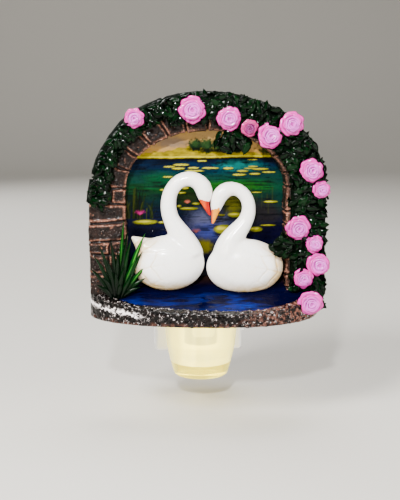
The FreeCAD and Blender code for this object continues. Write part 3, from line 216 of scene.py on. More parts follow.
def dents(points, size, seed=1):
    """Distance to the nearest of scattered points, 0 at a dent's middle: the look of hammer marks."""
    scaled = np.asarray(points, float) / size
    base = np.floor(scaled)
    nearest = np.full(scaled.shape[:-1], 9.0)
    for dx in (-1, 0, 1):
        for dy in (-1, 0, 1):
            for dz in (-1, 0, 1):
                cell = base + (dx, dy, dz)
                spot = np.stack([lattice(cell, seed + k) for k in (1, 2, 3)], axis=-1)
                gap = np.linalg.norm(cell + spot - scaled, axis=-1)
                nearest = np.minimum(nearest, gap)
    return nearest


def ease(low, high, values):
    """0 below low, 1 above high, and smooth between."""
    part = np.clip((np.asarray(values, float) - low) / (high - low), 0, 1)
    return part * part * (3 - 2 * part)


def grid_faces(rows, cols, start=0, close_cols=False):
    """Quads between the points of a grid, row by row. close_cols joins the last column to the first."""
    across = cols if close_cols else cols - 1
    row, col = np.meshgrid(np.arange(rows - 1), np.arange(across), indexing="ij")
    after = (col + 1) % cols
    quads = np.stack(
        [row * cols + col, (row + 1) * cols + col, (row + 1) * cols + after, row * cols + after], axis=-1
    )
    return (quads.reshape(-1, 4) + start).tolist()


def shell_faces(rows, cols):
    """Faces of a closed shell of two grids of points, one after the other, joined along their edges."""
    total = rows * cols
    first_col, last_col = [r * cols for r in range(rows)], [r * cols + cols - 1 for r in range(rows)]
    first_row, last_row = list(range(cols)), list(range(total - cols, total))
    ring = first_row + last_col[1:] + last_row[-2::-1] + first_col[-2:0:-1]
    sides = [[b, a, a + total, b + total] for a, b in zip(ring, ring[1:] + ring[:1])]
    return grid_faces(rows, cols) + [face[::-1] for face in grid_faces(rows, cols, total)] + sides


def new_piece(name, points, faces, materials, smooth=True):
    """An object made of points in millimetres."""
    mesh = bpy.data.meshes.new(name)
    mesh.from_pydata((np.asarray(points, float) * MM).tolist(), [], faces)
    mesh.validate()
    mesh.update()
    return placed(name, mesh, materials, smooth)


def placed(name, mesh, materials, smooth=True):
    """An object for a mesh, in the scene, with its materials."""
    piece = bpy.data.objects.new(name, mesh)
    bpy.context.scene.collection.objects.link(piece)
    mesh.materials.clear()
    for material in materials:
        mesh.materials.append(material)
    mesh.polygons.foreach_set("use_smooth", [smooth] * len(mesh.polygons))
    return piece


def outward(piece):
    """Turns the faces so that they all look out."""
    work = bmesh.new()
    work.from_mesh(piece.data)
    bmesh.ops.recalc_face_normals(work, faces=work.faces)
    work.to_mesh(piece.data)
    work.free()
    return piece


def points_of(mesh):
    """The points of a mesh in millimetres."""
    flat = np.empty(len(mesh.vertices) * 3)
    mesh.vertices.foreach_get("co", flat)
    return flat.reshape(-1, 3) / MM


def normals_of(mesh):
    """The direction that each point of a mesh faces."""
    flat = np.empty(len(mesh.vertices) * 3)
    mesh.vertices.foreach_get("normal", flat)
    return flat.reshape(-1, 3)


def set_points(mesh, points):
    """Moves the points of a mesh to places in millimetres."""
    mesh.vertices.foreach_set("co", (points * MM).ravel())
    mesh.update()


def set_value(mesh, name, values):
    """A number at each point, which the materials read by name."""
    field = mesh.attributes.new(name, "FLOAT", "POINT")
    field.data.foreach_set("value", np.asarray(values, np.float32).ravel())


def set_colour(mesh, name, values):
    """A colour at each point, which the materials read by name."""
    field = mesh.color_attributes.new(name, "FLOAT_COLOR", "POINT")
    solid = np.concatenate([values, np.ones((len(values), 1))], axis=1)
    field.data.foreach_set("color", solid.astype(np.float32).ravel())


def modified(piece):
    """The mesh of a piece with its modifiers applied."""
    graph = bpy.context.evaluated_depsgraph_get()
    mesh = bpy.data.meshes.new_from_object(piece.evaluated_get(graph))
    piece.modifiers.clear()
    old = piece.data
    piece.data = mesh
    bpy.data.meshes.remove(old)
    return mesh


def cast_from(node, name, voxel, softening, materials):
    """A new piece with a frame node's shape, as even small quads that can be sculpted."""
    piece = placed(name, frame["nodes"][node].data.copy(), materials)
    piece.data.name = name
    remesh = piece.modifiers.new("voxels", "REMESH")
    remesh.mode = "VOXEL"
    remesh.voxel_size = voxel * MM
    remesh.use_smooth_shade = True
    smoother = piece.modifiers.new("soften", "SMOOTH")
    smoother.factor = 0.5
    smoother.iterations = softening
    mesh = modified(piece)
    mesh.materials.clear()
    for material in materials:
        mesh.materials.append(material)
    return piece


def softened(piece, weights, rounds):
    """The piece's mesh smoothed, each point by its weight from 0 to 1."""
    group = piece.vertex_groups.new(name="soften")
    for index, weight in enumerate(weights):
        if weight > 0:
            group.add([index], float(weight), "REPLACE")
    smoother = piece.modifiers.new("soften", "SMOOTH")
    smoother.factor = 0.5
    smoother.iterations = rounds
    smoother.vertex_group = group.name
    mesh = modified(piece)
    piece.vertex_groups.clear()
    return mesh


def mount_piece(piece, node):
    """The piece rides with the resin front and stands for the frame's node."""
    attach(piece, "decor")
    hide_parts(node)
    return piece


# Material helpers


class Finish:
    """A material's nodes, with short calls for what the finishes share."""

    def __init__(self, name):
        """Makes the material with its shader."""
        self.material = bpy.data.materials.new(name)
        self.material.use_nodes = True
        self.tree = self.material.node_tree
        self.shader = self.tree.nodes["Principled BSDF"]
        self.place = self.tree.nodes.new("ShaderNodeTexCoord").outputs["Object"]

    def node(self, kind, **values):
        """A new node of that kind, with its settings."""
        made = self.tree.nodes.new("ShaderNode" + kind)
        for key, value in values.items():
            setattr(made, key, value)
        return made

    def feed(self, socket, value):
        """Links a socket to another's output, or sets its number or colour."""
        if isinstance(value, bpy.types.NodeSocket):
            self.tree.links.new(value, socket)
        elif hasattr(value, "__len__") and len(value) == 3 and len(socket.default_value) == 4:
            socket.default_value = (*value, 1)
        else:
            socket.default_value = value

    def set(self, **values):
        """Sets the shader's own sockets, named with underscores for spaces."""
        for key, value in values.items():
            self.feed(self.shader.inputs[key.replace("_", " ")], value)
        return self

    def stretched(self, scale):
        """The place on the object, scaled along each axis."""
        mapping = self.node("Mapping")
        self.feed(mapping.inputs["Vector"], self.place)
        mapping.inputs["Scale"].default_value = scale
        return mapping.outputs["Vector"]

    def noise(self, scale, detail=4.0, rough=0.55, stretch=None, warp=0.0):
        """Clouds of that many lumps a metre, from 0 to 1."""
        made = self.node("TexNoise")
        self.feed(made.inputs["Vector"], self.stretched(stretch) if stretch else self.place)
        made.inputs["Scale"].default_value = scale
        made.inputs["Detail"].default_value = detail
        made.inputs["Roughness"].default_value = rough
        made.inputs["Distortion"].default_value = warp
        return made.outputs["Fac"]

    def cells(self, scale):
        """Distance to the nearest of scattered points, that many a metre."""
        made = self.node("TexVoronoi")
        self.feed(made.inputs["Vector"], self.place)
        made.inputs["Scale"].default_value = scale
        return made.outputs["Distance"]

    def value(self, name):
        """The number that the mesh carries under that name."""
        return self.node("Attribute", attribute_name=name).outputs["Fac"]

    def painted(self, name):
        """The colour that the mesh carries under that name."""
        return self.node("Attribute", attribute_name=name).outputs["Color"]

    def along(self, axis, low, high):
        """0 to 1 along an axis of the frame, in metres."""
        split = self.node("SeparateXYZ")
        self.feed(split.inputs[0], self.place)
        return self.span(split.outputs[axis], low, high)

    def span(self, source, low, high, bottom=0.0, top=1.0):
        """The source from low to high, spread from bottom to top and held there outside."""
        made = self.node("MapRange")
        made.clamp = True
        self.feed(made.inputs["Value"], source)
        for key, number in (("From Min", low), ("From Max", high), ("To Min", bottom), ("To Max", top)):
            made.inputs[key].default_value = number
        return made.outputs["Result"]

    def maths(self, operation, first, second):
        """A sum of two numbers or outputs."""
        made = self.node("Math", operation=operation)
        self.feed(made.inputs[0], first)
        self.feed(made.inputs[1], second)
        return made.outputs[0]

    def mix(self, share, first, second):
        """A colour between the first and the second."""
        made = self.node("Mix", data_type="RGBA")
        self.feed(made.inputs["Factor"], share)
        self.feed(made.inputs[6], first)
        self.feed(made.inputs[7], second)
        return made.outputs[2]

    def bump(self, height, strength, depth, under=None):
        """A bump whose full height is depth millimetres."""
        made = self.node("Bump")
        made.inputs["Strength"].default_value = strength
        made.inputs["Distance"].default_value = depth * MM
        self.feed(made.inputs["Height"], height)
        if under is not None:
            self.feed(made.inputs["Normal"], under)
        self.feed(self.shader.inputs["Normal"], made.outputs["Normal"])
        return made.outputs["Normal"]


FINISHES = {}


def finish(name):
    """Keeps a finish's maker under its name."""

    def keep(maker):
        """Files the maker, and leaves it as it is."""
        FINISHES[name] = maker
        return maker

    return keep


def material(name):
    """The material of that name, made once."""
    own_name = name + "_finish"
    return bpy.data.materials.get(own_name) or FINISHES[name](Finish(own_name)).material


# Finishes of the cast resin


@finish("stone_paint")
def stone_paint(f):
    """Dark brown stones with copper brushed over their edges and pale flecks low down, which are painted
    highlights.
    """
    c = colours()
    blotch = f.span(f.noise(420, 5, 0.6), 0.42, 0.70)
    body = f.mix(blotch, c.stone_dark, c.stone_mid)
    # Painted highlights: pale flecks that stand for glints, thickest on the lower stones.
    highlight_fleck = f.span(f.noise(1900, 3, 0.6), 0.66, 0.71)
    lowness = f.span(f.along("Z", 0.020, 0.062), 0, 1, 0.9, 0.10)
    body = f.mix(f.maths("MULTIPLY", highlight_fleck, lowness), body, (0.40, 0.31, 0.28))
    scuffed = f.maths("MULTIPLY", f.value("edge"), f.span(f.noise(800, 4, 0.7), 0.38, 0.56))
    scuffed = f.maths("MULTIPLY", scuffed, f.span(f.noise(150, 2, 0.5), 0.36, 0.58, 0.25, 1.0))
    body = f.mix(scuffed, body, f.mix(f.noise(300, 2), (0.12, 0.045, 0.03), c.stone_edge))
    worn = f.maths("MULTIPLY", scuffed, f.span(f.noise(2100, 2, 0.5), 0.56, 0.72))
    body = f.mix(worn, body, (0.72, 0.46, 0.36))
    body = f.mix(f.value("joint"), body, (0.004, 0.002, 0.002))
    f.set(Base_Color=body, Roughness=f.span(f.noise(1100, 3), 0.3, 0.7, 0.22, 0.5))
    f.set(Specular_IOR_Level=0.08, Coat_Weight=0.14, Coat_Roughness=0.06)
    low = f.bump(f.noise(700, 4, 0.65), 0.6, 0.30)
    f.bump(f.cells(1700), 0.35, 0.12, low)
    return f


@finish("rock_paint")
def rock_paint(f):
    """Black rock with painted highlights, white flecks on its ridges and a white streak at the left, and
    copper at the right.
    """
    c = colours()
    tint = f.mix(f.span(f.noise(500, 4, 0.6), 0.48, 0.70), c.rock_dark, (0.008, 0.0045, 0.004))
    ridge = f.value("edge")
    # Painted highlights: white flecks on the ridges between the hammer dents.
    highlight_fleck = f.maths("MULTIPLY", ridge, f.span(f.noise(1900, 4, 0.7), 0.565, 0.595))
    tint = f.mix(f.maths("MULTIPLY", highlight_fleck, 0.9), tint, (0.90, 0.79, 0.77))
    # Painted highlight: a white streak along the rim's left end, broken by gaps.
    gaps = f.span(f.noise(700, 5, 0.7, stretch=(0.5, 1.0, 1.3)), 0.47, 0.50)
    tint = f.mix(f.maths("MULTIPLY", f.value("streak"), gaps), tint, (0.98, 0.89, 0.88))
    under = f.maths("SUBTRACT", 1.0, f.along("Z", -0.0072, -0.0052))
    right_end = f.along("X", 0.010, 0.038)
    copper = f.maths("MAXIMUM", right_end, f.maths("MULTIPLY", under, 0.4))
    brushed = f.maths("MULTIPLY", copper, f.span(f.noise(600, 5, 0.65), 0.46, 0.58))
    tint = f.mix(brushed, tint, c.rock_copper)
    pale = f.maths("MULTIPLY", brushed, f.span(f.noise(1700, 3, 0.6), 0.58, 0.72))
    tint = f.mix(pale, tint, (0.66, 0.42, 0.34))
    f.set(Base_Color=tint, Roughness=f.span(f.noise(900, 3), 0.3, 0.7, 0.12, 0.36))
    f.set(Specular_IOR_Level=0.06, Coat_Weight=0.20, Coat_Roughness=0.04)
    low = f.bump(f.noise(620, 4, 0.6), 0.5, 0.30)
    f.bump(f.cells(1300), 0.25, 0.12, low)
    return f


@finish("pond_resin")
def pond_resin(f):
    """Glossy navy water with brighter blue streaks, and dark brown painted shade towards the back by the
    panel, under the swans.
    """
    c = colours()
    streak = f.noise(95, 5, 0.6, stretch=(1.0, 5.0, 5.0), warp=0.6)
    broad = f.noise(38, 2, 0.5, stretch=(1.0, 1.6, 1.6))
    share = f.maths("MULTIPLY", f.span(streak, 0.44, 0.72), f.span(broad, 0.40, 0.62))
    share = f.maths("MULTIPLY", share, f.value("open_water"))
    body = f.mix(share, c.water_dark, c.water_bright)
    glint = f.maths("MULTIPLY", f.span(f.noise(160, 4, 0.6, stretch=(1.0, 6.0, 6.0)), 0.66, 0.76), share)
    body = f.mix(glint, body, (0.02, 0.10, 0.45))
    # Painted shade: dark brown along the back of the pond, under the swans.
    body = f.mix(f.value("shore"), body, (0.016, 0.007, 0.005))
    f.set(Base_Color=body, Roughness=0.14, Specular_IOR_Level=0.03, Coat_Weight=0.05, Coat_Roughness=0.04)
    f.bump(f.noise(150, 3, 0.5, stretch=(1.0, 3.0, 3.0)), 0.22, 0.30)
    return f


@finish("scene_film")
def scene_film(f):
    """The painted scene, which glows a little as if lit from behind."""
    strokes = f.noise(240, 4, 0.6, stretch=(0.35, 1.0, 1.4))
    paint = f.mix(f.span(strokes, 0.35, 0.7, 0.0, 0.35), f.painted("paint"), (0.0, 0.0, 0.0))
    f.set(Base_Color=paint, Roughness=f.span(f.noise(800, 3), 0.3, 0.7, 0.24, 0.4))
    f.set(Specular_IOR_Level=0.06)
    f.set(Emission_Color=f.painted("paint"), Emission_Strength=0.28)
    f.bump(strokes, 0.25, 0.08)
    return f


@finish("swan_paint")
def swan_paint(f):
    """Creamy white, with beige painted shade where the mesh carries shade."""
    c = colours()
    mottle = f.span(f.noise(230, 4, 0.6), 0.35, 0.7, 0.6, 1.15)
    shade = f.maths("MULTIPLY", f.value("shade"), mottle)
    body = f.mix(shade, c.swan_white, c.swan_shade)
    warm = f.span(f.noise(60, 2, 0.5), 0.45, 0.7, 0.0, 0.25)
    body = f.mix(warm, body, (0.88, 0.80, 0.70))
    f.set(Base_Color=body, Roughness=f.span(f.noise(700, 3), 0.3, 0.7, 0.22, 0.36))
    f.set(Subsurface_Weight=0.22, Subsurface_Radius=(0.0022, 0.0017, 0.0012), Subsurface_Scale=1.0)
    f.set(Specular_IOR_Level=0.45, Coat_Weight=0.35, Coat_Roughness=0.10)
    low = f.bump(f.noise(330, 3, 0.55, stretch=(0.5, 1.0, 1.4)), 0.18, 0.12)
    f.bump(f.noise(2200, 2, 0.5), 0.08, 0.03, low)
    return f


@finish("beak_paint")
def beak_paint(f):
    """Orange, turning to the swan's own beak colour across the beak."""
    tint = f.mix(f.value("beak_tint"), colours().beak_orange, f.painted("beak_colour"))
    f.set(Base_Color=tint, Roughness=f.span(f.noise(700, 3), 0.3, 0.7, 0.26, 0.40), Specular_IOR_Level=0.08)
    # Painted glow: the beak gives off a little light in its own colour, though it is no lamp.
    f.set(Emission_Color=tint, Emission_Strength=0.12)
    f.bump(f.noise(900, 3, 0.5), 0.15, 0.06)
    return f


def rose_finish(f, heart, pink, lip, deep, inner_lip):
    """Tinted petals: pale in the middle, pink outside with a strong lip, and purple painted shade between
    the petals.
    """
    out = f.value("out")
    veins = f.span(f.noise(900, 4, 0.6), 0.35, 0.7, 0.0, 0.22)
    body = f.mix(f.span(out, 0.42, 0.80), heart, pink)
    body = f.mix(veins, body, pink)
    # Painted shade: purple where the petals fold in towards their foot.
    body = f.mix(f.span(f.value("fold"), 0.15, 0.8, 0.0, 0.9), body, deep)
    # Lips: strong pink on the outer petals; the pale lips of the inner petals are painted highlights.
    edge = f.mix(f.span(out, 0.55, 0.72), inner_lip, lip)
    body = f.mix(f.span(f.value("lip"), 0.84, 0.98, 0.0, 0.7), body, edge)
    f.set(Base_Color=body, Roughness=f.span(f.noise(1200, 2), 0.3, 0.7, 0.12, 0.26))
    f.set(Subsurface_Weight=0.12, Subsurface_Radius=(0.0016, 0.0008, 0.0012), Subsurface_Scale=1.0)
    f.set(Specular_IOR_Level=0.4, Coat_Weight=0.4, Coat_Roughness=0.05)
    f.bump(f.noise(1100, 3, 0.6), 0.12, 0.06)
    return f


@finish("rose_resin")
def rose_resin(f):
    """The pink roses."""
    c = colours()
    return rose_finish(f, c.rose_pale, c.rose_pink, c.rose_lip, c.rose_painted_shade, (0.70, 0.20, 0.66))


@finish("rose_resin_dark")
def rose_resin_dark(f):
    """The one rose that is poured darker."""
    heart, pink, lip = (0.14, 0.01, 0.10), (0.38, 0.01, 0.14), (0.60, 0.02, 0.20)
    return rose_finish(f, heart, pink, lip, (0.03, 0.001, 0.025), (0.32, 0.05, 0.20))


@finish("leaf_paint")
def leaf_paint(f):
    """Glossy dark green, each leaf with a tone of its own."""
    c = colours()
    tone = f.maths("MULTIPLY", f.value("tone"), f.span(f.noise(500, 3), 0.3, 0.7, 0.5, 1.2))
    body = f.mix(tone, c.leaf_dark, c.leaf_bright)
    # The rib: a lighter green midrib on each leaf's upper face, which also stands in for the glint along
    # it, a painted highlight.
    body = f.mix(f.value("rib"), body, (0.002, 0.020, 0.004))
    f.set(Base_Color=body, Roughness=f.span(f.noise(1300, 2), 0.3, 0.7, 0.14, 0.30))
    f.set(Specular_IOR_Level=0.01, Coat_Weight=0.16, Coat_Roughness=0.03)
    f.bump(f.noise(1500, 3, 0.6), 0.12, 0.06)
    return f


@finish("leaf_shadow")
def leaf_shadow(f):
    """The rough dark ground that the leaves stand on."""
    body = f.mix(f.span(f.noise(500, 3), 0.4, 0.7), colours().leaf_dark, (0.0008, 0.0040, 0.0010))
    f.set(Base_Color=body, Roughness=f.span(f.noise(900, 3), 0.3, 0.7, 0.60, 0.85), Specular_IOR_Level=0.03)
    f.bump(f.noise(700, 4, 0.65), 0.6, 0.40)
    return f


@finish("reed_paint")
def reed_paint(f):
    """Streaked green, dark at the foot and bright at the tip and the crease."""
    c = colours()
    streaks = f.span(f.noise(900, 3, 0.6, stretch=(1.0, 1.0, 0.15)), 0.3, 0.7, 0.55, 1.2)
    tone = f.maths("MULTIPLY", f.value("tone"), streaks)
    body = f.mix(tone, c.reed_dark, c.reed_bright)
    body = f.mix(f.span(f.value("rib"), 0.12, 0.5), body, (0.035, 0.22, 0.015))
    f.set(Base_Color=body, Roughness=f.span(f.noise(1100, 2), 0.3, 0.7, 0.14, 0.30))
    f.set(Specular_IOR_Level=0.04, Coat_Weight=0.14, Coat_Roughness=0.04)
    f.bump(f.noise(1200, 3, 0.5, stretch=(1.0, 1.0, 0.2)), 0.25, 0.08)
    return f


# Finishes of the plastics, metals and glass


def plastic(f, tint, rough, coat=0.15, dirt=0.06):
    """Moulded plastic: a fine grain, slow changes of gloss, a little dust in the colour."""
    cloud = f.span(f.noise(70, 4, 0.6), 0.4, 0.75, 0.0, dirt)
    f.set(Base_Color=f.mix(cloud, tint, (0.35, 0.29, 0.20)))
    f.set(Roughness=f.span(f.noise(180, 4, 0.6), 0.3, 0.7, rough - 0.06, rough + 0.08))
    f.set(Coat_Weight=coat, Coat_Roughness=0.15, Specular_IOR_Level=0.5)
    f.bump(f.noise(2600, 3, 0.55), 0.12, 0.04)
    return f


@finish("white_plastic")
def white_plastic(f):
    """The housing's white, lifted a little by the lamp's light."""
    plastic(f, colours().white, 0.34)
    f.set(Subsurface_Weight=0.08, Subsurface_Radius=(0.002, 0.002, 0.0015), Subsurface_Scale=1.0)
    return f.set(Emission_Color=(1.0, 0.98, 0.92), Emission_Strength=0.45)


@finish("black_plastic")
def black_plastic(f):
    """The switch's slider and other dark mouldings."""
    return plastic(f, (0.018, 0.017, 0.016), 0.42, dirt=0.10)


@finish("milky_plastic")
def milky_plastic(f):
    """The cup: milky yellow, lit from inside in soft upright bands and dimmer at its sides."""
    plastic(f, colours().milky, 0.16, coat=0.4, dirt=0.03)
    f.set(Transmission_Weight=0.80, IOR=1.49)
    left, right = f.along("X", -0.016, -0.005), f.along("X", 0.016, 0.005)
    glow = f.span(f.maths("MULTIPLY", left, right), 0.0, 1.0, 0.6, 1.9)
    bands = f.span(f.noise(150, 3, 0.5, stretch=(1.0, 0.3, 0.05)), 0.38, 0.62, 0.66, 1.12)
    glow = f.maths("MULTIPLY", glow, bands)
    return f.set(Emission_Color=(1.0, 0.87, 0.24), Emission_Strength=glow)


@finish("clear_plastic")
def clear_plastic(f):
    """The cup's clear yellow foot."""
    plastic(f, (0.96, 0.90, 0.22), 0.08, coat=0.2, dirt=0.02)
    f.set(Transmission_Weight=0.80, IOR=1.49)
    # Painted glow: the foot gives off yellow light of its own, standing in for the bulb's light.
    return f.set(Emission_Color=(1.0, 0.78, 0.01), Emission_Strength=0.40)


def metal(f, bright, dull, rough):
    """Rolled or plated metal with drawn grain and some tarnish."""
    tarnish = f.span(f.noise(260, 5, 0.65), 0.45, 0.75)
    f.set(Base_Color=f.mix(tarnish, bright, dull), Metallic=1.0)
    grain = f.noise(500, 4, 0.6, stretch=(1.0, 1.0, 4.0))
    f.set(Roughness=f.span(grain, 0.3, 0.7, rough, rough + 0.18))
    f.bump(f.noise(1500, 3, 0.5, stretch=(0.2, 1.0, 3.0)), 0.12, 0.03)
    return f


METALS = {
    # bright colour, tarnished colour, roughness
    "brass": ((0.82, 0.60, 0.26), (0.70, 0.48, 0.19), 0.20),
    "nickel": ((0.74, 0.71, 0.66), (0.50, 0.47, 0.43), 0.16),
    "solder": ((0.62, 0.62, 0.64), (0.40, 0.40, 0.42), 0.30),
    "steel": ((0.60, 0.60, 0.61), (0.38, 0.37, 0.36), 0.24),
    "tungsten": ((0.34, 0.33, 0.33), (0.20, 0.19, 0.19), 0.30),
}


def metal_maker(name):
    """The maker of that metal's finish."""
    return lambda f: metal(f, *METALS[name])


for metal_name in METALS:
    FINISHES[metal_name] = metal_maker(metal_name)


@finish("bulb_glass")
def bulb_glass(f):
    """Thin clear glass with a breath of haze."""
    f.set(Base_Color=f.mix(f.span(f.noise(90, 3), 0.4, 0.7, 0.0, 0.3), (1.0, 1.0, 1.0), (0.94, 0.97, 0.98)))
    f.set(Roughness=f.span(f.noise(300, 3), 0.3, 0.7, 0.01, 0.06), Transmission_Weight=1.0, IOR=1.48)
    f.bump(f.noise(200, 2), 0.05, 0.05)
    return f


@finish("black_glass")
def black_glass(f):
    """The bulb base's insulator."""
    return plastic(f, (0.012, 0.012, 0.016), 0.12, coat=0.8, dirt=0.05)


# The stone arch


STONE_STEP = 0.34
SIDE_STEP = 0.6
ARC_STATIONS = 340
STONE_ROOM = 0.9
CORNER_ROOM = 0.8

# Where the left shoulder's slump begins and is full, and where it eases off towards the crown
SLUMP_X = (-30.0, -44.0)
SLUMP_Z = (40.0, 58.0)
SLUMP_CROWN_Z = (66.0, 84.0)


def band_path():
    """Stations along the stone band from the left foot over the crown to the right foot. Each row is
    (x share, z on the pillars, arch angle, length so far)."""
    s = sizes()
    spring = s.spring_height / MM
    middle_half = ARCH_HALF - s.pillar_width / MM / 2
    middle_rise = ARCH_CROWN - spring - s.crown_band / MM / 2
    rows = []
    straight = int((spring - ARCH_FOOT) / STONE_STEP)
    for z in np.linspace(ARCH_FOOT, spring, straight, endpoint=False):
        rows.append((-1.0, z, math.pi, z - ARCH_FOOT))
    so_far = spring - ARCH_FOOT
    last = np.array([-middle_half, 0.0])
    for angle in np.linspace(math.pi, 0, ARC_STATIONS):
        spot = np.array([middle_half * math.cos(angle), middle_rise * math.sin(angle)])
        so_far += np.linalg.norm(spot - last)
        last = spot
        rows.append((0.0, spring, angle, so_far))
    for z in np.linspace(spring, ARCH_FOOT, straight + 1)[1:]:
        rows.append((1.0, z, 0.0, so_far + spring - z))
    return np.array(rows)


def band_places(path, across):
    """x and z of the band's points: across is millimetres from the outer edge towards the opening."""
    s = sizes()
    spring = s.spring_height / MM
    share = across / (s.pillar_width / MM)
    half = ARCH_HALF - across
    rise = ARCH_CROWN - spring - share * (s.crown_band / MM)
    angle = path[:, 2:3]
    x = half * np.cos(angle)
    z = path[:, 1:2] + np.where(path[:, 0:1] == 0, rise * np.sin(angle), 0)
    return x, z


def stone_layout(total, straight):
    """The joints along the band: where each lies, how far it slants, and where a stone is split."""
    rng = np.random.default_rng(41)
    course = sizes().stone_course / MM
    joints, where = [], 0.8
    while where < total - 2:
        on_pillar = where < straight or where > total - straight
        where += (course if on_pillar else course * 1.32) * rng.uniform(0.82, 1.16)
        joints.append(where)
    joints = np.array(joints)
    slants = rng.uniform(-1.1, 1.1, len(joints))
    splits = np.where(rng.random(len(joints) + 1) < 0.55, rng.uniform(0.38, 0.68, len(joints) + 1), -9.0)
    centres = np.concatenate([[0], joints])
    splits[(centres > straight - 3) & (centres < total - straight)] = -9.0
    return joints, slants, splits


def stone_relief(path, across, width):
    """Distance of each point to the nearest joint, and the number of the stone that it lies on."""
    total = path[-1, 3]
    straight = sizes().spring_height / MM - ARCH_FOOT
    joints, slants, splits = stone_layout(total, straight)
    share = np.clip(across / width, 0, 1)
    along = path[:, 3:4] + 0 * share
    wander = np.stack([along, np.broadcast_to(across, along.shape), np.zeros_like(along)], axis=-1)
    along += (smooth_noise(wander, 3.0, 5) - 0.5) * 0.9
    lines = joints[None, None, :] + slants[None, None, :] * (share[..., None] - 0.5)
    gaps = along[..., None] - lines
    stone = (gaps > 0).sum(axis=-1)
    nearest = np.abs(gaps).min(axis=-1)
    split = splits[stone]
    to_split = np.abs((share - split) * width + (smooth_noise(wander, 2.5, 8) - 0.5) * 0.8)
    nearest = np.minimum(nearest, np.where(split > 0, to_split, 99))
    stone = stone * 2 + ((split > 0) & (share > split))
    return nearest, stone


def slumped(points):
    """The points with the arch's left shoulder drawn in a little, as the casting has it."""
    drawn = points.copy()
    share = ease(*SLUMP_X, points[..., 0]) * ease(*SLUMP_Z, points[..., 2])
    share = share * (1 - 0.6 * ease(*SLUMP_CROWN_Z, points[..., 2]))
    drawn[..., 0] += sizes().shoulder_slump / MM * share
    return drawn


def band_section(width):
    """The band's section, with the panel's rebate: millimetres across, millimetres ahead, and how far the
    stones push sideways and forwards there."""
    rebate = PANEL_HIGH[0] - (ARCH_HALF - width) + 0.1
    rebate_front = -PANEL_LOW[1]
    front = ARCH_FRONT - STONE_ROOM
    corner = front - CORNER_ROOM
    section = [(0.0, y, -1.0, 0.0) for y in np.arange(ARCH_REAR, corner, SIDE_STEP)]
    section += [(t, front, 0.0, 1.0) for t in np.arange(0.0, width + 0.01, STONE_STEP)]
    section += [(width, y, 1.0, 0.0) for y in np.arange(corner, rebate_front, -SIDE_STEP)]
    section += [(width, rebate_front, 0, 0), (width - rebate, rebate_front, 0, 0)]
    section += [(width - rebate, ARCH_REAR, 0, 0)]
    return np.array(section)


def stone_arch():
    """The band of stones as one closed cast piece, with joints cut into its front and both sides."""
    width = sizes().pillar_width / MM
    path = band_path()
    across, ahead, sideways, forwards = band_section(width).T[:, None, :]
    nearest, stone = stone_relief(path, across, width)
    x, z = band_places(path, across)
    ahead = np.broadcast_to(ahead, x.shape)
    flat = np.stack([x, ahead, z], axis=-1)
    push = np.abs(sideways) + forwards
    relief = sizes().stone_relief / MM
    cushion = ease(0.0, 1.1, nearest)
    lip = np.exp(-(((nearest - 0.95) / 0.34) ** 2))
    own_level = lattice(np.stack([stone, stone, stone], axis=-1), 3) - 0.5
    bumps = layered_noise(flat, 2.2, 3, 4) - 0.5
    chips = 0.5 - dents(flat, 1.5, 9)
    height = relief * (cushion - 0.35) + 0.28 * lip + 0.55 * own_level * cushion
    height = height + 0.75 * bumps * cushion + 0.40 * np.minimum(chips, 0.25) * cushion
    from_edge = np.minimum(across, width - across)
    rounding = np.where(forwards > 0, 0.9 * (1 - ease(0, 1.5, from_edge)), 0)
    rear_fade = ease(ARCH_REAR, ARCH_REAR + 2.5, ahead)
    height = (height - rounding) * push * np.where(forwards > 0, 1, rear_fade * 0.8)
    pushed_x, pushed_z = band_places(path, across + sideways * height)
    points = slumped(np.stack([pushed_x, -(ahead + forwards * height), pushed_z], axis=-1))
    rows, cols = x.shape
    faces = grid_faces(rows, cols, close_cols=True)
    faces.append(list(range(cols)))
    faces.append([(rows - 1) * cols + k for k in range(cols)][::-1])
    piece = outward(new_piece("stone_arch_cast", points.reshape(-1, 3), faces, [material("stone_paint")]))
    inner_lip = np.exp(-(((width - across) / 0.6) ** 2)) * (forwards > 0)
    scuffs = 0.6 * ease(0.68, 0.80, layered_noise(flat, 1.3, 2, 21))
    set_value(piece.data, "edge", np.clip(lip + inner_lip + scuffs, 0, 1) * push)
    set_value(piece.data, "joint", (1 - ease(0.15, 0.6, nearest)) * push)
    return mount_piece(piece, "stone_arch")


# The rock base and the pond


# The white streak along the rim's left end, a painted highlight: its level at its start, its fall a
# millimetre, and where it begins, starts to fade and is full
STREAK_LEVEL = -1.4
STREAK_FALL = 0.13
STREAK_START = -44.0
STREAK_FADE = (-26.0, -31.0)


def rock_base():
    """The base with its hammered rim."""
    _, high = corners("rock_base")
    piece = cast_from("rock_base", "rock_base_cast", 0.42, 3, [material("rock_paint")])
    points, normals = points_of(piece.data), normals_of(piece.data)
    front_share = ease(-high[1] + 0.4, -high[1] + 2.5, -points[:, 1])
    wells = dents(points * (0.8, 1.0, 1.0), 1.35, 3)
    marks = wells - 0.45
    fine = layered_noise(points, 1.1, 2, 13) - 0.5
    lumps = layered_noise(points, 5.0, 2, 17) - 0.5
    depth = sizes().rock_relief / MM
    push = depth * (1.1 * marks + 0.9 * fine + 1.1 * lumps) * front_share
    push = push * np.where(normals[:, 2] < -0.8, 0.25, 1)
    set_points(piece.data, points + normals * push[:, None])
    # The white streak is a painted highlight along the upper edge of the rim's left end.
    level = STREAK_LEVEL - STREAK_FALL * (points[:, 0] - STREAK_START)
    streak = 1 - ease(0.6, 1.2, np.abs(points[:, 2] - level) + 2.0 * fine)
    set_value(piece.data, "streak", streak * ease(*STREAK_FADE, points[:, 0]) * front_share)
    # edge marks the ridges between the dents, where the rim's painted highlights go.
    set_value(piece.data, "edge", ease(0.62, 0.78, wells + 0.35 * fine))
    return mount_piece(piece, "rock_base")


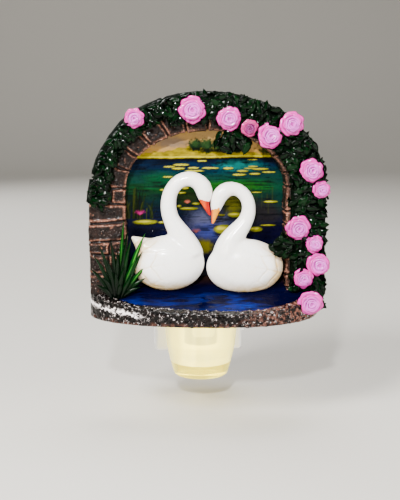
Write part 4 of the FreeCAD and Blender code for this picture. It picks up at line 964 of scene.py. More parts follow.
def pond():
    """The poured water: low ripples, with painted shade that darkens the colour along the back by the
    panel, under the birds.
    """
    low, high = corners("pond_water")
    piece = cast_from("pond_water", "pond_water_cast", 0.4, 2, [material("pond_resin")])
    points, normals = points_of(piece.data), normals_of(piece.data)
    stretched = points * (0.35, 1.0, 1.0)
    ripple = layered_noise(stretched, 2.6, 2, 31) - 0.5
    up = ease(0.3, 0.7, normals[:, 2])
    points = points + normals * (0.35 * ripple * up)[:, None]
    set_points(piece.data, points)
    ahead_share = (high[1] - points[:, 1]) / (high[1] - low[1])
    set_value(piece.data, "open_water", ease(0.35, 0.75, ahead_share))
    # shore is painted shade: 1 along the back by the panel, under the swans, fading towards the front.
    set_value(piece.data, "shore", 1 - ease(0.05, 0.30, ahead_share))
    return mount_piece(piece, "pond_water")


# The painted panel


def linear(*srgb):
    """A painter's colour, each part from 0 to 255, as linear light."""
    values = np.array(srgb, float) / 255
    return np.where(values <= 0.04045, values / 12.92, ((values + 0.055) / 1.055) ** 2.4)


PAINT_STRENGTH = 0.60
PAINT_CONTRAST = 1.30
LILY_PADS = (
    # x, z, half length, half height
    (-1.0, 59.5, 2.1, 0.30), (20.9, 59.9, 2.1, 0.22), (-10.2, 57.9, 3.4, 0.42), (-15.2, 57.1, 2.4, 0.30),
    (-11.2, 56.3, 2.9, 0.40), (-4.7, 56.5, 2.4, 0.34), (-4.4, 55.2, 3.9, 0.34), (2.7, 56.4, 3.7, 0.38),
    (10.4, 56.2, 2.2, 0.40), (21.2, 56.9, 2.1, 0.30), (19.6, 56.1, 2.4, 0.25), (24.4, 55.8, 3.4, 0.42),
    (16.7, 55.0, 2.5, 0.42), (28.2, 54.4, 2.9, 0.34), (15.2, 53.4, 2.9, 0.42), (22.1, 53.7, 2.5, 0.40),
    (-15.7, 52.7, 2.1, 0.28), (-18.4, 47.1, 0.9, 0.34), (-8.4, 47.8, 1.6, 0.55), (-9.7, 45.7, 1.8, 0.40),
    (-11.0, 39.9, 1.0, 0.55), (-6.8, 38.8, 3.9, 0.60), (-3.6, 40.9, 1.8, 0.50), (29.1, 41.4, 3.1, 0.50),
    (22.9, 45.6, 2.4, 0.20), (27.9, 31.0, 3.4, 0.36), (22.8, 29.3, 2.9, 1.10), (8.4, 29.5, 4.2, 1.90),
    (7.5, 35.8, 1.6, 0.42), (13.4, 35.8, 3.1, 1.10), (-25.8, 33.1, 5.2, 1.00), (-18.5, 32.9, 1.6, 0.50),
)
# x, z, half width, half height
TREES = ((-3.6, 66.4, 3.0, 2.6), (1.4, 66.2, 3.2, 3.0), (6.8, 65.9, 3.4, 2.6), (13.0, 65.2, 3.4, 2.2))
LILIES = (
    # x, z, size, colour
    (-28.0, 36.6, 2.4, (206, 40, 140)),
    (-7.4, 41.4, 1.3, (232, 130, 110)),
    (-3.6, 28.4, 2.0, (150, 90, 90)),
)
REED_TONES = ((44, 60, 12), (24, 42, 12), (12, 24, 10), (84, 90, 18))


class Painter:
    """Paints a landscape over points of the panel, layer on layer."""

    def __init__(self, x, z):
        """Takes the points' places in millimetres."""
        self.x, self.z = x, z
        self.flat = np.stack([x, z, np.zeros_like(x)], axis=-1)
        self.canvas = np.zeros((len(x), 3))

    def lay(self, share, tone):
        """Covers the canvas with a tone, by each point's share."""
        share = np.clip(share, 0, 1)[:, None]
        self.canvas = self.canvas * (1 - share) + tone * share

    def brush(self, long, high, seed):
        """Noise drawn out sideways, as strokes are."""
        return layered_noise(self.flat * (1 / long, 1 / high, 1), 1.0, 3, seed)

    def spot(self, x, z, half, rise, soft=0.25, ragged=0.0, seed=1):
        """1 inside an ellipse, fading over its edge."""
        reach = np.hypot((self.x - x) / half, (self.z - z) / rise)
        if ragged:
            reach = reach + (self.brush(0.8, 0.8, seed) - 0.5) * ragged
        return 1 - ease(1 - soft, 1 + soft, reach)

    def ramp(self, *stops):
        """A canvas of colours up the panel's height."""
        heights = [stop[0] for stop in stops]
        tones = np.array([linear(*stop[1]) for stop in stops])
        height = self.z + (self.brush(9, 1.5, 2) - 0.5) * 5.0
        return np.stack([np.interp(height, heights, tones[:, k]) for k in range(3)], axis=-1)


def paint_sky(p):
    """An evening sky with two clouds."""
    tone = p.ramp((60, (222, 178, 60)), (66, (226, 184, 118)), (71, (214, 176, 112)), (76, (196, 160, 92)))
    p.lay(np.ones_like(p.x), tone)
    p.lay(p.spot(-14.5, 67.6, 7, 2.4, 0.6, 0.8, 5) * 0.75, linear(168, 150, 138))
    p.lay(p.spot(2, 71.0, 9, 2.0, 0.7, 0.8, 6) * 0.5, linear(236, 204, 150))


def paint_bank(p):
    """The yellow far bank and its trees."""
    crest = 64.4 + 1.5 * np.sin(p.x * 0.13 + 1.9) + (p.brush(2.2, 0.7, 7) - 0.5) * 2.6
    bank = 1 - ease(crest - 0.4, crest + 0.4, p.z)
    tone = p.brush(2.4, 0.8, 8)[:, None]
    p.lay(bank, linear(214, 192, 20) * tone * 1.25 + linear(120, 110, 14) * (1 - tone))
    for number, (x, z, half, rise) in enumerate(TREES):
        p.lay(p.spot(x, z, half, rise, 0.35, 1.1, 30 + number), linear(34, 66, 40))
        lit = p.spot(x - 0.6, z + 0.7, half * 0.6, rise * 0.6, 0.5, 1.4, 50 + number)
        p.lay(lit * 0.6, linear(86, 122, 70))
        shadow = p.spot(x, z - rise * 0.75, half, rise * 0.28, 0.5, 1.0, 70 + number)
        p.lay(shadow * 0.8, linear(12, 26, 12))
    p.lay(p.spot(31, 64.5, 7, 3.2, 0.4, 0.9, 91), linear(60, 74, 20))


def paint_water(p):
    """The pond's water: bands of colour, patches of light and dark strokes."""
    shore = 60.7 + (p.brush(14, 4, 3) - 0.5) * 0.7
    water = p.ramp(
        (12, (10, 12, 40)), (27, (14, 20, 66)), (33, (8, 22, 66)), (38, (10, 34, 56)), (44, (14, 60, 50)),
        (48, (26, 92, 44)), (52, (16, 84, 74)), (57, (6, 52, 84)), (61, (6, 26, 52)),
    )
    share = 1 - ease(shore - 0.25, shore + 0.1, p.z)
    p.lay(share, water * (0.55 + 0.9 * p.brush(6, 0.7, 4))[:, None])
    p.lay(share * p.spot(15.5, 57.4, 9, 2.2, 0.6, 0.7, 12) * 0.8, linear(20, 150, 142))
    p.lay(share * p.spot(13, 48.5, 12, 2.4, 0.7, 0.9, 13) * 0.7, linear(52, 128, 34))
    p.lay(share * p.spot(-20, 52.0, 6, 2.6, 0.7, 0.9, 14) * 0.6, linear(10, 104, 56))
    p.lay(share * p.spot(27, 36.5, 9, 5.5, 0.6, 0.5, 15) * 0.7, linear(62, 56, 52))
    p.lay(share * p.spot(2, 32.5, 9, 6.5, 0.6, 0.4, 16) * 0.85, linear(104, 106, 134))
    p.lay(share * p.spot(3, 29.0, 7, 3.0, 0.7, 0.6, 17) * 0.7, linear(58, 70, 150))
    p.lay(share * p.spot(12.4, 40.8, 4.0, 4.2, 0.5, 0.5, 18) * 0.85, linear(126, 124, 20))
    p.lay(share * p.spot(-8, 43.8, 5.0, 3.4, 0.5, 0.6, 19) * 0.75, linear(54, 70, 20))
    p.lay(share * p.spot(-27, 28.5, 8, 3.0, 0.6, 0.5, 20) * 0.7, linear(4, 6, 30))
    p.lay(share * p.spot(30, 27.5, 8, 3.5, 0.6, 0.5, 21) * 0.8, linear(22, 16, 52))
    p.lay(share * p.spot(33, 48, 3.0, 9.0, 0.6, 0.5, 22) * 0.6, linear(4, 74, 66))
    dark = ease(0.60, 0.72, p.brush(7, 0.45, 23)) * ease(18, 30, p.z)
    p.lay(share * dark * 0.7, linear(4, 12, 24))
    p.lay(1 - ease(0.1, 0.4, np.abs(p.z - shore - 0.7)), linear(236, 224, 60))
    p.lay(1 - ease(0.1, 0.45, np.abs(p.z - shore + 0.15)), linear(6, 12, 16))


def paint_plants(p):
    """Reeds at the left, and faint reflections of stems at the right."""
    rng = np.random.default_rng(7)
    for number in range(46):
        foot = rng.uniform(-36, -21.5)
        tall = rng.uniform(5, 13) * (1.1 - abs(foot + 30) / 16)
        lean = rng.uniform(-2.5, 2.5)
        rise = np.clip((p.z - 34.5) / tall, 0, 1.001)
        line = foot + lean * rise ** 2
        stroke = (1 - ease(0.10, 0.34, np.abs(p.x - line))) * (p.z > 34.5) * (rise < 1)
        p.lay(stroke * 0.75, linear(*REED_TONES[number % len(REED_TONES)]))
    for _ in range(18):
        x, z, tall = rng.uniform(8, 32), rng.uniform(38, 46), rng.uniform(1, 5)
        stroke = (1 - ease(0.1, 0.35, np.abs(p.x - x))) * (1 - ease(tall * 0.6, tall, np.abs(p.z - z)))
        p.lay(stroke * 0.35, linear(84, 92, 40))
    p.lay(p.spot(-1.3, 21.8, 4.5, 3.2, 0.4, 0.6, 24), linear(118, 112, 16))


def paint_lilies(p):
    """The lily pads with their shadows, and three flowers."""
    for number, (x, z, half, rise) in enumerate(LILY_PADS):
        p.lay(p.spot(x + 0.2, z - rise * 0.9, half * 1.05, rise * 0.8, 0.3) * 0.8, linear(4, 16, 20))
        far = ease(40, 52, np.array(z))
        tone = linear(208, 200, 30) * far + linear(150, 150, 18) * (1 - far)
        p.lay(p.spot(x, z, half, rise, 0.18, 0.25, 100 + number), tone)
        lit = p.spot(x - half * 0.2, z + rise * 0.25, half * 0.6, rise * 0.4, 0.5)
        p.lay(lit * 0.7, linear(240, 226, 96))
    for x, z, size, tone in LILIES:
        for turn in np.linspace(-1.15, 1.15, 7):
            tip_x, tip_z = x + size * math.sin(turn), z + size * 0.8 * math.cos(turn)
            along = ((p.x - x) * (tip_x - x) + (p.z - z) * (tip_z - z)) / (size * 0.9) ** 2
            along = np.clip(along, 0, 1)
            away = np.hypot(p.x - x - along * (tip_x - x), p.z - z - along * (tip_z - z))
            p.lay((1 - ease(0.12, 0.42, away)) * (1 - 0.5 * along), linear(*tone))


def scene_panel():
    """The translucent panel: a doorway-shaped slab whose faces carry the painted pond."""
    step = sizes().panel_grid / MM
    spring = sizes().spring_height / MM
    half = PANEL_HIGH[0]
    count = int(2 * half / step)
    u = np.linspace(-1, 1, count)
    v = np.linspace(0, 1, int((PANEL_HIGH[2] - PANEL_LOW[2]) / step))
    top = spring + (PANEL_HIGH[2] - spring) * np.sqrt(np.clip(1 - u * u, 0, 1))
    x = np.broadcast_to(u * half, (len(v), count))
    z = PANEL_LOW[2] + v[:, None] * (top[None, :] - PANEL_LOW[2])
    painter = Painter(x.ravel(), z.ravel())
    for layer in (paint_sky, paint_bank, paint_water, paint_plants, paint_lilies):
        layer(painter)
    front = np.stack([x, np.full_like(z, PANEL_LOW[1]), z], axis=-1).reshape(-1, 3)
    rear = front.copy()
    rear[:, 1] = PANEL_HIGH[1]
    points, faces = np.concatenate([front, rear]), shell_faces(len(v), count)
    piece = outward(new_piece("scene_panel_painted", points, faces, [material("scene_film")], False))
    canvas = PAINT_STRENGTH * painter.canvas ** PAINT_CONTRAST
    set_colour(piece.data, "paint", np.concatenate([canvas] * 2))
    return mount_piece(piece, "scene_panel")


# The swans


# A beak's top, its lowest point and its two sides, as shares of its swan's box
BEAKS = {"swan_left": (0.760, 0.620, 0.840, 1.001), "swan_right": (0.760, 0.600, 0.0, 0.170)}


def feathers(points, normals, low, span, side):
    """How far each point of a swan is pushed out, and how much beige painted shade it has."""
    body = np.array([0.5 - 0.04 * side, 0.5, 0.24]) * span + low
    reach = (points - body) / (span * (0.46, 0.5, 0.235))
    round_reach = np.hypot(reach[:, 0], reach[:, 2])
    tailward = ease(0.0, 0.9, reach[:, 0] * side)
    low_part = 1 - ease(0.36, 0.56, (points[:, 2] - low[2]) / span[2])
    wing_reach = np.hypot(reach[:, 0] * 0.92 - 0.10 * side, reach[:, 2] * 1.02 - 0.12)
    wing = (1 - ease(0.66, 0.98, wing_reach)) * low_part
    turn = np.arctan2(reach[:, 2] - 0.1, reach[:, 0] * side + 0.9)
    quills = np.abs(np.sin(turn * 9.0 + round_reach * 1.5))
    rows = np.abs(np.sin(round_reach * 9.5 + 0.8 * quills))
    lines = (1 - ease(0.0, 0.35, rows)) * tailward + 0.6 * (1 - ease(0.0, 0.25, quills)) * tailward
    facing = np.abs(normals[:, 1])
    cut = sizes().feather_relief / MM * lines * low_part * facing * ease(0.15, 0.5, wing + tailward)
    # Painted shade: under the body, along its rim towards the tail and in the feather lines.
    under = ease(0.50, 1.0, -reach[:, 2]) * low_part
    rim = ease(0.70, 1.02, round_reach) * low_part * tailward
    shade = 1.1 * under + 0.9 * rim + 0.75 * lines * low_part * facing
    return 0.30 * wing * facing - cut, np.clip(shade, 0, 1)


def paint_beak(mesh, points, low, span, side, beak, tint):
    """Gives the beak's faces their own finish, with a colour that changes across it."""
    top, lowest = low[2] + span[2] * beak[0], low[2] + span[2] * beak[1]
    left, right = low[0] + span[0] * beak[2], low[0] + span[0] * beak[3]
    inside = points[:, 2] < top + (points[:, 0] - (left + right) / 2) * 0.25 * side
    inside &= (points[:, 2] > lowest - 0.4) & (points[:, 0] > left) & (points[:, 0] < right)
    for face in mesh.polygons:
        face.material_index = int(inside[face.vertices[0]])
    set_value(mesh, "beak_tint", ease(0.35, 0.6, (points[:, 0] - left) / (right - left)))
    set_colour(mesh, "beak_colour", np.broadcast_to(np.array(tint), (len(points), 3)))


def swan(node, side, tint):
    """One swan: the cast body softened, a folded wing with feather lines, painted shade and a beak."""
    low, high = corners(node)
    span = high - low
    piece = cast_from(node, node + "_cast", 0.33, 6, [material("swan_paint"), material("beak_paint")])
    heights = points_of(piece.data)[:, 2]
    below_head = 1 - ease(low[2] + span[2] * 0.52, low[2] + span[2] * 0.66, heights)
    mesh = softened(piece, below_head, 90)
    points, normals = points_of(mesh), normals_of(mesh)
    push, shade = feathers(points, normals, low, span, side)
    set_points(mesh, points + normals * push[:, None])
    set_value(mesh, "shade", shade)
    paint_beak(mesh, points, low, span, side, BEAKS[node], tint)
    return mount_piece(piece, node)


# Roses


def petal(angle, width, start, end, depth, curl, wave, phase):
    """A petal's middle sheet in a rose that faces +Z: from start to end radius, rising by depth."""
    u = np.linspace(-1, 1, 13)[None, :]
    v = np.linspace(0, 1, 9)[:, None]
    lobe = np.cos(u * math.pi / 2 * 0.96) ** 0.55
    radius = start + (end - start) * v * (0.66 + 0.34 * lobe)
    radius = radius + wave * np.sin(u * 5.0 + phase) * v ** 3
    turn = angle + width * u * (0.50 + 0.50 * np.sin(v * math.pi * 0.60))
    height = depth * (1 - (1 - v) ** 1.7) * (0.50 + 0.50 * lobe) - curl * v ** 4
    height = height + 0.5 * wave * np.cos(u * 6 + phase) * v ** 3
    sheet = np.stack([radius * np.cos(turn), radius * np.sin(turn), height + 0 * turn], axis=-1)
    lip = np.maximum(v, 0.92 * np.abs(u) ** 6 * np.sqrt(v))
    return sheet, np.broadcast_to(lip, turn.shape)


def thick_sheet(sheet, thickness):
    """Points and faces of a closed shell round a grid of points."""
    rows, cols = sheet.shape[:2]
    du, dv = np.gradient(sheet, axis=1), np.gradient(sheet, axis=0)
    normal = np.cross(du, dv)
    normal /= np.linalg.norm(normal, axis=-1, keepdims=True) + 1e-9
    v = np.linspace(0, 1, rows)[:, None, None]
    u = np.abs(np.linspace(-1, 1, cols))[None, :, None]
    thin = thickness * (1 - 0.45 * v ** 3) * (1 - 0.35 * u ** 4)
    both = np.stack([sheet + normal * thin / 2, sheet - normal * thin / 2])
    return both.reshape(-1, 3), shell_faces(rows, cols)


class Gathering:
    """Collects many small shells into one mesh, with the numbers that their materials read."""

    def __init__(self):
        """Starts with nothing."""
        self.points, self.faces, self.paints, self.values, self.total = [], [], [], {}, 0

    def add(self, points, faces, paint=0, **values):
        """Adds one shell, with the number of its finish and its values at each point."""
        self.points.append(points)
        self.faces += [[k + self.total for k in face] for face in faces]
        self.paints += [paint] * len(faces)
        self.total += len(points)
        for key, numbers in values.items():
            self.values.setdefault(key, []).append(np.broadcast_to(numbers, (len(points),)))

    def piece(self, name, *finish_names):
        """The object made of all the shells."""
        materials = [material(finish_name) for finish_name in finish_names]
        made = new_piece(name, np.concatenate(self.points), self.faces, materials)
        made.data.polygons.foreach_set("material_index", self.paints)
        for key, numbers in self.values.items():
            set_value(made.data, key, np.concatenate(numbers))
        return made


ROSE_LAYERS = (
    # petals, start radius, end radius, base height, rise, curl, wave, as shares of the rose's radius
    (7, 0.44, 1.03, 0.02, 0.34, 0.16, 0.040),
    (5, 0.38, 0.84, 0.20, 0.46, 0.10, 0.045),
    (4, 0.30, 0.64, 0.40, 0.46, 0.04, 0.030),
    (3, 0.22, 0.46, 0.56, 0.36, 0.02, 0.020),
    (3, 0.10, 0.28, 0.68, 0.28, 0.00, 0.010),
)


DARK_ROSE = 4
ROSE_COUNT = 13


def rose_mound(gathering, radius, rng):
    """The solid heart that the petals grow from."""
    rows, cols = 9, 28
    v = np.linspace(0, 1, rows)[:, None]
    turn = np.linspace(0, 2 * math.pi, cols, endpoint=False)[None, :]
    reach = radius * 0.74 * np.cos(v * math.pi / 2) + 0.001
    height = radius * (0.80 * np.sin(v * math.pi / 2) - 0.02)
    wobble = 1 + 0.03 * np.sin(5 * turn + rng.uniform(0, 6))
    reach = reach * wobble
    shape = np.stack([reach * np.cos(turn), reach * np.sin(turn), height + 0 * turn], axis=-1)
    faces = [face[::-1] for face in grid_faces(rows, cols, close_cols=True)]
    faces.append(list(range(cols))[::-1])
    faces.append([(rows - 1) * cols + k for k in range(cols)])
    # Painted shade: the heart darkens towards its foot, between the petals.
    fold = np.repeat(1 - v ** 0.7, cols, axis=1).ravel()
    gathering.add(shape.reshape(-1, 3), faces, lip=0.25, fold=0.35 + 0.65 * fold, out=0.6)


def rose_layer(gathering, layer, radius, rng):
    """One ring of petals, from the outermost, number 0, to the innermost."""
    petals, start, end, base, rise, curl, wave = ROSE_LAYERS[layer]
    inner = layer / (len(ROSE_LAYERS) - 1)
    offset = rng.uniform(0, 6)
    for k in range(petals):
        angle = offset + 2 * math.pi * k / petals + rng.uniform(-0.08, 0.08)
        reach = radius * end * rng.uniform(0.94, 1.04)
        width = 2 * math.pi / petals * rng.uniform(0.66, 0.76)
        sheet, lip = petal(
            angle, width, radius * start, reach, radius * rise, radius * curl, radius * wave,
            rng.uniform(0, 6),
        )
        stray = rng.uniform(-0.05, 0.05, 3) * radius
        sheet = sheet + stray + (0, 0, radius * base)
        both, faces = thick_sheet(sheet, sizes().petal_thickness / MM)
        lips = np.concatenate([lip.ravel()] * 2)
        # Painted shade: stronger on the rose's lower left side, weaker on the inner rings, deepest at each
        # petal's foot.
        shaded_side = ease(-0.3, 0.9, -np.cos(angle + 0.6) * 0.8 - np.sin(angle) * 0.4)
        fold = (1 - lips) ** 1.6 * (1 - 0.7 * inner) * (0.45 + 0.55 * shaded_side)
        out = np.hypot(both[:, 0], both[:, 1]) / radius
        gathering.add(both, faces, lip=lips, fold=fold, out=out)


def rose(node, number):
    """One rose, facing ahead with a small tilt of its own."""
    low, high = corners(node)
    rng = np.random.default_rng(500 + number)
    radius = (high[0] - low[0] + high[2] - low[2]) / 4
    gathering = Gathering()
    rose_mound(gathering, radius, rng)
    for layer in range(len(ROSE_LAYERS)):
        rose_layer(gathering, layer, radius, rng)
    piece = gathering.piece(node + "_cast", "rose_resin_dark" if number == DARK_ROSE else "rose_resin")
    points = points_of(piece.data)
    x, up, ahead = points[:, 0], points[:, 1], points[:, 2] - points[:, 2].min()
    tilt_x, tilt_z = rng.uniform(-0.16, 0.16, 2)
    ahead = ahead * (high[1] - low[1]) / ahead.max() + x * tilt_x + up * tilt_z
    centre = (low + high) / 2
    set_points(piece.data, np.stack([centre[0] + x, high[1] - ahead, centre[2] + up], axis=-1))
    return mount_piece(outward(piece), node)


# Leaves


LEAF_THICKNESS = 0.48
BRIGHT_SHARE = 0.48
TRAILING_LEAVES = 22
LEAFAGE = (
    # node, leaves, how far they are drawn in from the outline, whether they hang
    ("garland_left", 280, 1.0, False), ("garland_top", 270, 1.0, False), ("garland_right", 500, 1.2, False),
    ("sprig_top", 22, 0.0, True), ("sprig_right", 14, 0.0, False),
)


def leaf_shell(long, wide, thick):
    """A pointed leaf along +X in the XY plane, its faces towards +Z and -Z, and its rib's brightness, which
    is a lighter midrib and partly a painted highlight.
    """
    rows, cols = 7, 5
    v = np.linspace(0, 1, rows)[:, None]
    u = np.linspace(-1, 1, cols)[None, :]
    profile = np.sin(math.pi * np.clip(v, 0.0, 1.0) ** 0.72) ** 0.95 + 0.02
    x = long * (v - 0.1) + 0 * u
    y = wide / 2 * profile * u
    fold = 1.1 * (1 - np.abs(u)) ** 1.5 - 0.9 * (1 - np.abs(u)) ** 6
    z = thick * fold * profile - 0.22 * long * (v - 0.35) ** 2
    top = np.stack([x, y, z + thick * 0.5 * profile], axis=-1).reshape(-1, 3)
    below = np.stack([x, y, z - thick * 0.45 * profile], axis=-1).reshape(-1, 3)
    faces = [face[::-1] for face in shell_faces(rows, cols)]
    rib = np.repeat((1 - ease(0.0, 0.4, np.abs(u))), rows, axis=0).ravel()
    return np.concatenate([top, below]), faces, np.concatenate([rib * 0.35, rib * 0])


def face_spots(mesh, count, rng, facing):
    """Random places on a mesh in millimetres, with their normals. facing weighs the normals."""
    mesh.calc_loop_triangles()
    tris = np.empty(len(mesh.loop_triangles) * 3, np.int64)
    mesh.loop_triangles.foreach_get("vertices", tris)
    places = points_of(mesh)[tris.reshape(-1, 3)]
    normal = np.cross(places[:, 1] - places[:, 0], places[:, 2] - places[:, 0])
    area = np.linalg.norm(normal, axis=1)
    normal = normal / (area[:, None] + 1e-12)
    weight = area * facing(normal)
    picked = rng.choice(len(area), count, p=weight / weight.sum())
    a, b = rng.random(count), rng.random(count)
    flip = a + b > 1
    a, b = np.where(flip, 1 - a, a), np.where(flip, 1 - b, b)
    first, second, third = places[picked].transpose(1, 0, 2)
    return first + a[:, None] * (second - first) + b[:, None] * (third - first), normal[picked]


def outer_share(points):
    """0 over most of the stone band and 1 at its outline."""
    spring = sizes().spring_height / MM
    over = np.maximum(points[..., 2] - spring, 0) / (ARCH_CROWN - spring)
    return ease(0.84, 1.0, np.hypot(points[..., 0] / ARCH_HALF, over))


def leafy_share(normals):
    """How thick the leaves stand by the way that the garland faces: few at its back, most at its front."""
    return np.where(normals[:, 1] > 0.5, 0.02, 0.55 + 0.45 * (normals[:, 1] < -0.4))


def trailing_spots(rng):
    """Places for the leaves with which the right garland trails over the end of the rim."""
    low, high = corners("garland_right")
    across, ahead, below = ((0.3, 5.5), (0.4, 2.6), (-2.5, 6.5))
    trail = np.stack([
        high[0] - rng.uniform(*across, TRAILING_LEAVES), low[1] - rng.uniform(*ahead, TRAILING_LEAVES),
        low[2] - rng.uniform(*below, TRAILING_LEAVES),
    ], axis=-1)
    return trail, np.broadcast_to([0.35, -0.94, 0.0], trail.shape)


def leaf_mass(node, seed, inset, hanging):
    """The lumpy ground under the leaves, sunk below them and away from the outline."""
    mass = cast_from(node, node + "_mass", 0.7, 3, [material("leaf_shadow")])
    points, normals = points_of(mass.data), normals_of(mass.data)
    sink = 0.4 + 0.9 * layered_noise(points, 1.8, 2, seed) + (1.0 if hanging else 0.0)
    sink = sink * (0.25 + 0.75 * ease(-0.2, 0.4, -normals[:, 1])) + 1.3 * inset * outer_share(points)
    quads = [list(face.vertices) for face in mass.data.polygons]
    bpy.data.objects.remove(mass)
    return slumped(points - normals * sink[:, None]), quads


def leaf_directions(spot, face, hanging, rng):
    """The way out from the arch at a spot, and the leaf's own way to its tip, to its side and up."""
    spring = sizes().spring_height / MM
    away = np.array([spot[0], 0.0, max(spot[2] - spring, 0.0) * 1.2 + 0.01])
    away = np.array([0.0, 0.0, -1.0]) if hanging else away / np.linalg.norm(away)
    turn = rng.normal(0, 0.55 if hanging else 0.9)
    sideways = min(face[0] ** 2 + face[2] ** 2, 1.0)
    tip = np.array([
        away[0] * math.cos(turn) - away[2] * math.sin(turn), 1.2 * sideways * math.copysign(1, turn),
        away[0] * math.sin(turn) + away[2] * math.cos(turn),
    ])
    up = face * 0.8 + np.array([0, -0.9 + 0.65 * sideways, 0]) + rng.normal(0, 0.38, 3)
    up /= np.linalg.norm(up)
    tip = tip - up * (tip @ up)
    tip /= np.linalg.norm(tip)
    return away, tip, np.cross(up, tip), up


def leafage(node, count, seed, inset, hanging):
    """A stretch of garland: a lumpy dark mass under many overlapping leaves."""
    rng = np.random.default_rng(seed)
    leaf_length = sizes().leaf_length / MM
    shell, faces, rib = leaf_shell(leaf_length, sizes().leaf_width / MM, LEAF_THICKNESS)
    gathering = Gathering()
    gathering.add(*leaf_mass(node, seed, inset, hanging), paint=1, tone=0.0, rib=0.0)
    spots, normals = face_spots(frame["nodes"][node].data, count, rng, leafy_share)
    if node == "garland_right":
        trail, trail_normals = trailing_spots(rng)
        spots, normals = np.concatenate([spots, trail]), np.concatenate([normals, trail_normals])
    left, right = CAD_BOX[0][0] / MM - 1.0, CAD_BOX[1][0] / MM + 1.0
    for spot, face in zip(spots, normals):
        away, tip, side, up = leaf_directions(spot, face, hanging, rng)
        scale = rng.uniform(0.72, 1.12)
        raised = rng.uniform(-0.5, 0.75)
        shift = inset * (1 - 2 * outer_share(spot))
        where = spot + away * shift + up * raised - tip * 0.45 * leaf_length * scale
        points = where + scale * (shell @ np.stack([tip, side, up]))
        points[:, 1] = np.minimum(points[:, 1], -ARCH_REAR - 0.5)
        points[:, 0] = np.clip(points[:, 0], left, right)
        tone = rng.random() ** 2.5 * (1 if rng.random() < BRIGHT_SHARE else 0.25)
        gathering.add(slumped(points), faces, tone=tone, rib=rib)
    piece = gathering.piece(node + "_leaves", "leaf_paint", "leaf_shadow")
    return mount_piece(outward(piece), node)


# Reeds


def reed(gathering, foot, tip, bow, width, thick, tone, roll):
    """One tapered blade from foot to tip, bowed sideways, creased along its middle."""
    rows, cols = 15, 5
    v = np.linspace(0, 1, rows)[:, None]
    middle = (foot + tip) / 2 + bow
    line = (1 - v) ** 2 * foot + 2 * v * (1 - v) * middle + v ** 2 * tip
    ahead = np.gradient(line, axis=0)
    ahead /= np.linalg.norm(ahead, axis=1, keepdims=True)
    face = np.array([math.sin(roll), -math.cos(roll), 0.15])
    side = np.cross(ahead, face)
    side /= np.linalg.norm(side, axis=1, keepdims=True)
    out = np.cross(side, ahead)
    taper = (0.55 + 0.45 * np.sin(np.clip(v * 1.7, 0, 1) * math.pi / 2)) * (1 - v ** 3.4) + 0.03
    u = np.linspace(-1, 1, cols)[None, :, None]
    crease = 0.42 * (1 - np.abs(u)) * thick
    sheet = line[:, None] + side[:, None] * u * (width / 2 * taper)[:, None] + out[:, None] * crease * 1.6
    v3 = v[:, :, None] + 0 * u
    half = thick * 0.5 * (1 - 0.6 * v[:, :, None])
    both = np.stack([sheet + out[:, None] * half, sheet - out[:, None] * half]).reshape(-1, 3)
    tones = (tone * ease(0.05, 0.75, v3)).ravel()
    rib = ((1 - ease(0.0, 0.5, np.abs(u))) * ease(0.2, 0.6, v3) * tone * 0.5 + 0 * v3).ravel()
    tones, ribs = np.concatenate([tones] * 2), np.concatenate([rib, rib * 0])
    gathering.add(both, shell_faces(rows, cols), tone=tones, rib=ribs)


REEDS = (
    # tip's x and z as shares of the clump's box, how far it leans ahead, brightness, width share
    (0.56, 0.99, 0.10, 0.55, 0.80), (0.88, 0.84, 0.35, 0.95, 0.85), (0.84, 0.62, 0.55, 0.35, 0.80),
    (0.92, 0.44, 0.50, 0.75, 0.75), (0.88, 0.27, 0.60, 0.25, 0.75), (0.10, 0.56, 0.30, 0.20, 0.70),
    (0.04, 0.40, 0.30, 0.15, 0.70), (0.18, 0.70, 0.20, 0.15, 0.75), (0.36, 0.76, 0.20, 0.12, 0.80),
    (0.66, 0.76, 0.45, 0.30, 0.80), (0.46, 0.62, 0.60, 0.10, 0.85), (0.74, 0.52, 0.75, 0.60, 0.80),
    (0.30, 0.52, 0.70, 0.10, 0.80), (0.55, 0.44, 0.95, 0.15, 0.85), (0.42, 0.36, 1.00, 0.10, 0.85),
    (0.68, 0.32, 1.00, 0.25, 0.80), (0.22, 0.30, 0.90, 0.08, 0.80), (0.80, 0.16, 0.90, 0.12, 0.75),
    (0.50, 0.22, 1.10, 0.08, 0.85), (0.12, 0.20, 0.80, 0.08, 0.75), (0.62, 0.88, 0.30, 0.12, 0.80),
)


def reeds():
    """The clump of reeds that grows at the left pillar's foot."""
    low, high = corners("reed_clump")
    span = high - low
    rng = np.random.default_rng(77)
    thick = sizes().reed_thickness / MM
    gathering = Gathering()
    root = np.array([low[0] + 0.46 * span[0], high[1] - 1.2, low[2] + 1.0])
    for x, z, lean, tone, width in REEDS:
        foot = root + np.array([(x - 0.5) * 6.5, -0.9 * lean - rng.uniform(0, 1.0), rng.uniform(-1.5, 0.3)])
        tip = np.array([low[0] + x * span[0], high[1] - 1.0 - lean * 3.4, low[2] + z * span[2]])
        bow = np.array([(0.5 - x) * 5.0, -1.2 * lean, 1.2])
        wide = sizes().reed_width / MM * width
        reed(gathering, foot, tip, bow, wide, thick, tone, rng.uniform(-0.45, 0.45))
    piece = outward(gathering.piece("reed_clump_cast", "reed_paint"))
    return mount_piece(piece, "reed_clump")


# The studio


